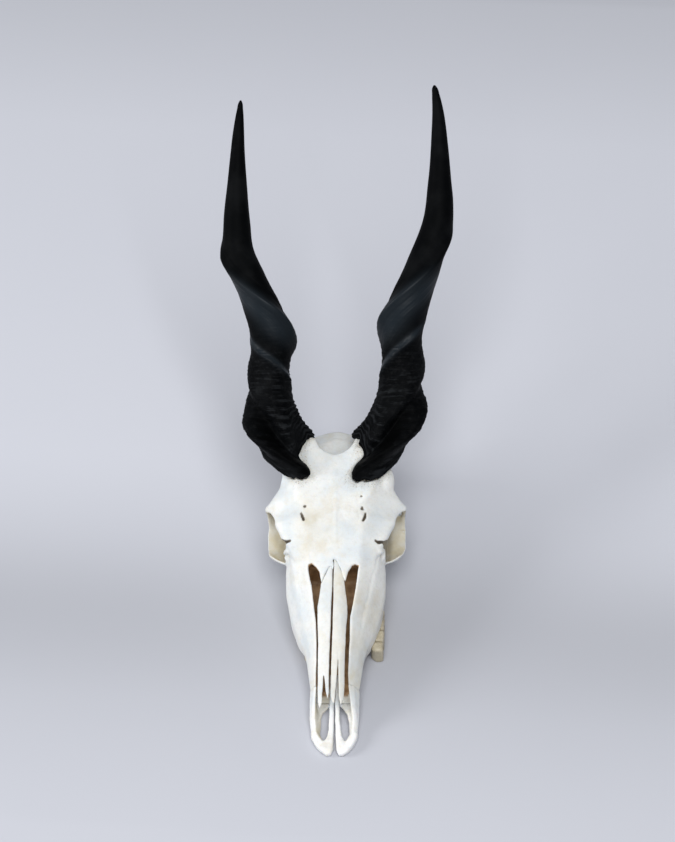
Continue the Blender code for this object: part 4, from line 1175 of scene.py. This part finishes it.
def build_cranium(bone):
    field = cranium_field()
    mesh = thinned(field.mesh("cranium"), CRANIUM_TRIANGLES)
    points = points_of(mesh)
    orbits = orbit_shade(mesh, points)
    paint(mesh, "cavity", cavity_shade(points))
    # tan: the orbits' tan, the palate's brown, and patches that are partly painted shade
    paint(mesh, "tan", np.maximum(np.maximum(orbits, palate_shade(points)), stain_and_shade_tone(points)))
    # painted shade in the small holes and the deep end of the orbits, and the crack's dark line
    paint(mesh, "painted_shade_and_crack", hole_shade(points, orbits))
    gaps = [sheath_distance(horn, *points.T) for horn in HORNS.values()]
    paint(mesh, "porous", fall(2, 16, np.min(gaps, axis=0)))
    smooth = Field(field.step, field.axes, field.value)
    smooth.soften(CREASE_SPREAD)
    # how deep each place lies in a hollow, for painted shade with a yellowish stain
    paint(mesh, "crease_shade_and_stain", smooth.at(points))
    piece("skull_bone", mesh, bone, "cranium")


def cavity_shade(points):
    """Marks the walls of the nose opening, the nasal cavity and the space for the brain."""
    x, y, z = points.T
    inside = empty_field(*HALF_SPACE, 2.0)
    inside.add(loft(NASAL_CAVITY, NASAL_CAVITY_ENDS))
    inside.add(ellipsoid(*BRAIN_SPACE))
    walls = fall(-0.2, 0.5, polygon_distance(x, y, np.array(NOSE_OPENING)))
    lining = fall(0.6, 2.0, inside.at(np.stack([np.abs(x), y, z], axis=1)))
    return np.maximum(walls, lining) * rise(66, 84, y)


def orbit_shade(mesh, points):
    """Marks the inside of the orbits: the faces near the socket that look towards its middle."""
    sides = np.where(points[:, :1] < 0, [-1, 1, 1], 1)
    folded = points * sides
    inwards = SOCKET_MIDDLE - folded
    towards = (rows_of(mesh.vertex_normals, "vector") * sides * inwards).sum(axis=1)
    towards /= np.linalg.norm(inwards, axis=1)
    socket = np.minimum(ellipsoid(*SOCKET)[2](*folded.T), orbit_front()[2](*folded.T))
    return fall(1.0, 3.0, socket) * rise(0.05, 0.35, towards) * fall(104, 112, points[:, 2])


def palate_shade(points):
    """Marks the palate between the premaxillae, which is browner on the right."""
    x, y, z = points.T
    between = (np.abs(x) < 22) & (z > 12)
    return fall(96, 108, y) * fall(20, 24, z) * between * np.where(x < 0, 0.85, 0.4)


def hole_shade(points, orbits):
    """Marks painted shade in the small holes and deep end of the orbits, and the crack's dark line."""
    holes = [bar(knots, HOLE_FLATTEN)[2](*points.T) for knots in HOLES]
    crack = bar(HAIR_CRACK)[2](*wandered(points, 1.5, 4, 40).T)
    deep = orbits * fall(66, 74, np.abs(points[:, 0])) * np.where(points[:, 0] < 0, 0.15, 0.5)
    shades = np.maximum(0.6 * fall(0.2, 1.0, crack), deep)
    return np.maximum(shades, fall(0.2, 1.0, np.min(holes, axis=0)))


def stain_and_shade_tone(points):
    """How yellow the patches of the upper side are at places, partly weathering and partly painted shade.
    """
    x, y, z = points.T
    stain_and_shade = np.zeros(len(x))
    for at_x, at_y, radius, share in STAIN_AND_SHADE_PATCHES:
        patch = share * np.exp(-((x - at_x) ** 2 + (y - at_y) ** 2) / radius**2)
        stain_and_shade = np.maximum(stain_and_shade, patch)
    return stain_and_shade * (0.8 + 0.5 * lattice(points, 6, 31)) * rise(10, 30, z)


def build_small_bones(bone):
    for name, plan in NASAL_PLANS.items():
        mesh = nasal_field(plan).mesh(name)
        paint_small_bone(mesh, 0.0, 1, NASAL_TAN_AND_SHADE[name])
        piece(f"{name}_bone", mesh, bone, name)
    for word, side in SIDES.items():
        name = f"premaxilla_{word}"
        mesh = premaxilla_field(word).mesh(name, side)
        paint_small_bone(mesh, PREMAXILLA_TAN[word], side, 0.0)
        piece(f"{name}_bone", mesh, bone, name)


def paint_small_bone(mesh, inner, side, yellow):
    """Marks the under side and, by the share inner, the inner wall of a bone beside the nose. The
    whole bone is yellowed by the share yellow, which is partly painted shade."""
    normals = rows_of(mesh.vertex_normals, "vector")
    points = points_of(mesh)
    x, y, z = points.T
    paint(mesh, "cavity", fall(-0.6, 0.1, normals[:, 2]) * rise(60, 90, y))
    wall = rise(0.15, 0.5, -side * normals[:, 0]) * rise(12, 15, np.abs(x))
    floor = rise(40, 48, y) * fall(13.5, 16, z) * (np.abs(x) > 9)
    inner = inner * np.maximum(wall, floor) * rise(8, 16, y)
    # patches that are partly weathering and partly painted shade
    patches = np.maximum(yellow * (0.8 + 0.4 * lattice(points, 7, 32)), stain_and_shade_tone(points))
    paint(mesh, "tan", np.maximum(inner, patches))
    for name in ("painted_shade_and_crack", "porous", "crease_shade_and_stain"):
        paint(mesh, name, np.zeros(len(points)))


def build_horns(keratin):
    for word, horn in HORNS.items():
        rings, *numbers = sheath_grid(horn)
        points = np.vstack([rings.reshape(-1, 3), rings[0].mean(axis=0), rings[-1].mean(axis=0)])
        mesh = bpy.data.meshes.new(f"horn_sheath_{word}")
        mesh.from_pydata(fitted(points).tolist(), [], ring_faces(len(rings), SHEATH_SIDES))
        made = bmesh.new()
        made.from_mesh(mesh)
        bmesh.ops.recalc_face_normals(made, faces=made.faces)
        made.to_mesh(mesh)
        made.free()
        mesh.shade_smooth()
        ends = {"rise": [HOLLOW_STATIONS[0], horn["tip"]], "sheen": [0, 0], "crest": [0, 0]}
        for (name, end), values in zip(ends.items(), numbers):
            paint(mesh, name, np.append(values, end))
        piece(f"horn_{word}", mesh, keratin, f"horn_sheath_{word}")


def build_teeth(enamel):
    for word, side in SIDES.items():
        for tooth, numbers in TEETH.items():
            name = f"{tooth}_{word}"
            mesh = tooth_field(side, numbers).mesh(name)
            piece(f"tooth_{name}", mesh, enamel, name)


# Materials


class Nodes:
    """A material's node tree, with short calls for the nodes that the materials use. colour is
    what the material's colour has come to so far."""

    def __init__(self, name):
        self.material = bpy.data.materials.new(name)
        self.material.use_nodes = True
        self.tree = self.material.node_tree
        self.shader = self.tree.nodes["Principled BSDF"]
        self.place = self.tree.nodes.new("ShaderNodeTexCoord").outputs["Object"]
        self.colour = None

    def wire(self, node, inputs):
        """Gives the node's inputs their values, or links them. Colours come without an alpha."""
        for name, value in inputs.items():
            socket = node.inputs[name]
            if isinstance(value, bpy.types.NodeSocket):
                self.tree.links.new(value, socket)
            else:
                socket.default_value = (*value, 1) if socket.type == "RGBA" else value

    def node(self, kind, output, inputs, **settings):
        made = self.tree.nodes.new(f"ShaderNode{kind}")
        for name, value in settings.items():
            setattr(made, name, value)
        self.wire(made, inputs)
        return made.outputs[output]

    def number(self, name):
        return self.node("Attribute", "Fac", {}, attribute_name=name)

    def maths(self, operation, *values):
        return self.node("Math", 0, dict(enumerate(values)), operation=operation)

    def multiplied(self, a, b):
        return self.maths("MULTIPLY", a, b)

    def along(self, axis):
        return self.node("SeparateXYZ", axis, {0: self.place})

    def noise(self, scale, detail=4.0, stretch=(1, 1, 1), rough=0.55):
        place = self.place
        if stretch != (1, 1, 1):
            place = self.node("Mapping", 0, {"Vector": place, "Scale": stretch})
        inputs = {"Vector": place, "Scale": scale, "Detail": detail, "Roughness": rough}
        return self.node("TexNoise", "Fac", inputs)

    def cells(self, scale):
        return self.node("TexVoronoi", "Distance", {"Vector": self.place, "Scale": scale})

    def between(self, value, low, high, to_low=0.0, to_high=1.0):
        inputs = {"Value": value, "From Min": low, "From Max": high, "To Min": to_low, "To Max": to_high}
        return self.node("MapRange", "Result", inputs, interpolation_type="SMOOTHSTEP")

    def mix(self, share, a, b):
        return self.node("Mix", 2, {0: share, 6: a, 7: b}, data_type="RGBA")

    def tint(self, share, colour):
        """Mixes a share of another colour into the colour."""
        self.colour = self.mix(share, self.colour, colour)

    def bump(self, height, strength, distance, below=None):
        inputs = {"Height": height, "Strength": strength, "Distance": distance}
        if below is not None:
            inputs["Normal"] = below
        return self.node("Bump", "Normal", inputs)

    def finish(self, roughness, normal, **more):
        inputs = {"Base Color": self.colour, "Roughness": roughness, "Normal": normal, **more}
        self.wire(self.shader, inputs)
        return self.material


def bone_material():
    nodes = Nodes("bleached_bone")
    porous = nodes.number("porous")
    nodes.colour = nodes.mix(nodes.between(nodes.noise(22, 3), 0.42, 0.66), BONE["white"], BONE["cool"])
    nodes.tint(nodes.between(nodes.along("Y"), *BLEACHED, 0.85, 0.0), BONE["bleached"])
    nodes.tint(nodes.between(nodes.noise(30, 6, rough=0.65), 0.5, 0.72, 0, 0.6), BONE["warm"])
    nodes.tint(nodes.between(nodes.noise(190, 4, rough=0.7), 0.45, 0.75, 0, 0.3), BONE["grain"])
    nodes.tint(nodes.between(nodes.cells(260), 0.05, 0.14, 0.16, 0.0), BONE["speck"])
    nodes.tint(nodes.between(porous, 0.3, 1.0, 0.0, 0.35), BONE["porous"])
    pits = nodes.between(nodes.cells(330), 0.1, 0.32, 0.85, 0.0)
    nodes.tint(nodes.multiplied(porous, pits), BONE["pit"])
    # painted shade in the hollows, with a yellowish stain
    nodes.tint(nodes.between(nodes.number("crease_shade_and_stain"), -0.1, -0.9, 0.0, 0.35), BONE["crease_shade_and_stain"])
    tan = nodes.mix(nodes.between(nodes.noise(45, 4), 0.35, 0.65), BONE["tan"], BONE["pale_tan"])
    nodes.tint(nodes.multiplied(nodes.number("tan"), 0.9), tan)
    brown = nodes.mix(nodes.between(nodes.noise(70, 4), 0.3, 0.7), BONE["brown"], BONE["pale_brown"])
    nodes.tint(nodes.between(nodes.number("cavity"), 0.3, 0.6), brown)
    # painted shade in the small holes and the deep end of the orbits, and the crack's dark line
    nodes.tint(nodes.number("painted_shade_and_crack"), nodes.mix(nodes.noise(150, 2), BONE["dark"], BONE["pale_dark"]))
    normal = nodes.bump(nodes.noise(420, 5), 0.25, 0.0006)
    normal = nodes.bump(nodes.noise(1.0, 3, (900, 120, 500)), 0.15, 0.0004, normal)
    normal = nodes.bump(nodes.noise(110, 3), 0.3, 0.001, normal)
    normal = nodes.bump(nodes.noise(260, 4, rough=0.7), porous, 0.0016, normal)
    roughness = nodes.between(nodes.noise(90, 3), 0.3, 0.7, 0.42, 0.6)
    return nodes.finish(roughness, normal, **BONE_SHADER)


def keratin_material():
    nodes = Nodes("black_keratin")
    young = nodes.between(nodes.number("rise"), 110, 160, 1.0, 0.0)
    sheen = nodes.number("sheen")
    crest = nodes.number("crest")
    patches = nodes.between(nodes.noise(25, 4), 0.4, 0.7)
    nodes.colour = nodes.mix(patches, KERATIN["black"], KERATIN["grey"])
    nodes.tint(sheen, KERATIN["sheen"])
    dust = nodes.between(nodes.noise(140, 6), 0.5, 0.72, 0.0, 0.35)
    nodes.tint(nodes.multiplied(dust, young), KERATIN["dust"])
    # painted highlights on the wrinkles' crests, and the paler worn rim
    nodes.tint(nodes.multiplied(nodes.between(crest, 0.0, 0.75, 0.0, 0.8), young), KERATIN["crest"])
    flakes = nodes.between(nodes.cells(420), 0.04, 0.10, 0.5, 0.0)
    nodes.tint(nodes.multiplied(flakes, young), KERATIN["flake"])
    # painted shade in the groove beside the keel
    nodes.tint(nodes.between(crest, -1.6, -0.5, 0.9, 0.0), KERATIN["hollow"])
    normal = nodes.bump(nodes.noise(420, 5), nodes.between(young, 0, 1, 0.1, 0.5), 0.0006)
    specular = {"Specular IOR Level": nodes.between(sheen, 0, 1, 0.03, 0.16)}
    return nodes.finish(nodes.between(sheen, 0, 1, 0.6, 0.42), normal, **specular)


def enamel_material():
    nodes = Nodes("tooth_enamel")
    stain = nodes.between(nodes.noise(120, 5), 0.35, 0.7)
    nodes.colour = nodes.mix(stain, ENAMEL["clean"], ENAMEL["stained"])
    streaks = nodes.noise(1.0, 4, (700, 700, 90))
    nodes.tint(nodes.between(streaks, 0.5, 0.75, 0.0, 0.6), ENAMEL["streak"])
    normal = nodes.bump(nodes.noise(300, 4), 0.3, 0.0005, nodes.bump(streaks, 0.4, 0.0008))
    return nodes.finish(nodes.between(stain, 0, 1, 0.35, 0.6), normal)


def floor_material():
    """A pale studio surface, shaded in a broad soft band across the front."""
    nodes = Nodes("pale_floor")
    tone = nodes.mix(nodes.noise(3, 3), FLOOR["cool"], FLOOR["pale"])
    slant = nodes.maths("MULTIPLY_ADD", nodes.along("X"), FLOOR_SLANT, nodes.along("Y"))
    share = nodes.maths("MULTIPLY_ADD", slant, 1 / FLOOR_DEPTH, -FLOOR_START / FLOOR_DEPTH)
    shade = nodes.node("ValToRGB", 0, {0: share})
    ramp = shade.node.color_ramp
    ramp.interpolation = "B_SPLINE"
    while len(ramp.elements) < len(FLOOR_SHADE):
        ramp.elements.new(0.5)
    for element, (at, grey) in zip(ramp.elements, FLOOR_SHADE):
        element.position = (at - FLOOR_START) / FLOOR_DEPTH
        element.color = (grey, grey, grey, 1)
    nodes.colour = nodes.node("VectorMath", 0, {0: tone, 1: shade}, operation="MULTIPLY")
    normal = nodes.bump(nodes.noise(900, 2), 0.03, 0.0005)
    return nodes.finish(nodes.between(nodes.noise(5, 2), 0, 1, 0.75, 0.85), normal)


# Surroundings


def add_floor():
    mesh = bpy.data.meshes.new("floor")
    corners = [(x * FLOOR_REACH, y * FLOOR_REACH, 0) for x, y in ((-1, -1), (1, -1), (1, 1), (-1, 1))]
    mesh.from_pydata(corners, [], [(0, 1, 2, 3)])
    mesh.materials.append(floor_material())
    floor = placed("floor", mesh)


def pose(right, up, back, place):
    """The matrix of an object at a place, turned to three directions."""
    return Matrix([[right[i], up[i], back[i], place[i]] for i in range(3)] + [[0, 0, 0, 1]])


def add_light(name, place, target, size, watts):
    data = bpy.data.lights.new(name, "AREA")
    data.size = size
    data.energy = watts
    back = np.subtract(place, target)
    back /= np.linalg.norm(back)
    right = np.cross([0, 0, 1], back)
    right /= np.linalg.norm(right)
    placed(name, data).matrix_world = pose(right, np.cross(back, right), back, place)


def add_lights():
    bpy.context.scene.view_settings.view_transform = "Standard"
    for name, numbers in LIGHTS.items():
        add_light(name, *numbers)
    world = bpy.data.worlds.new("studio")
    bpy.context.scene.world = world
    world.use_nodes = True
    background = world.node_tree.nodes["Background"]
    background.inputs["Color"].default_value = (*SKY, 1)
    background.inputs["Strength"].default_value = SKY_STRENGTH


def add_camera():
    data = bpy.data.cameras.new("camera")
    data.lens = CAMERA_LENS
    data.sensor_width = 36
    data.clip_start = 0.05
    data.clip_end = 60
    camera = placed("camera", data)
    back = -np.array(CAMERA_AHEAD)
    camera.matrix_world = pose(CAMERA_RIGHT, CAMERA_UP, back, metres(CAMERA_PLACE))
    bpy.context.scene.camera = camera


def main():
    bone = bone_material()
    build_cranium(bone)
    build_small_bones(bone)
    build_horns(keratin_material())
    build_teeth(enamel_material())
    add_floor()
    add_lights()
    add_camera()


main()
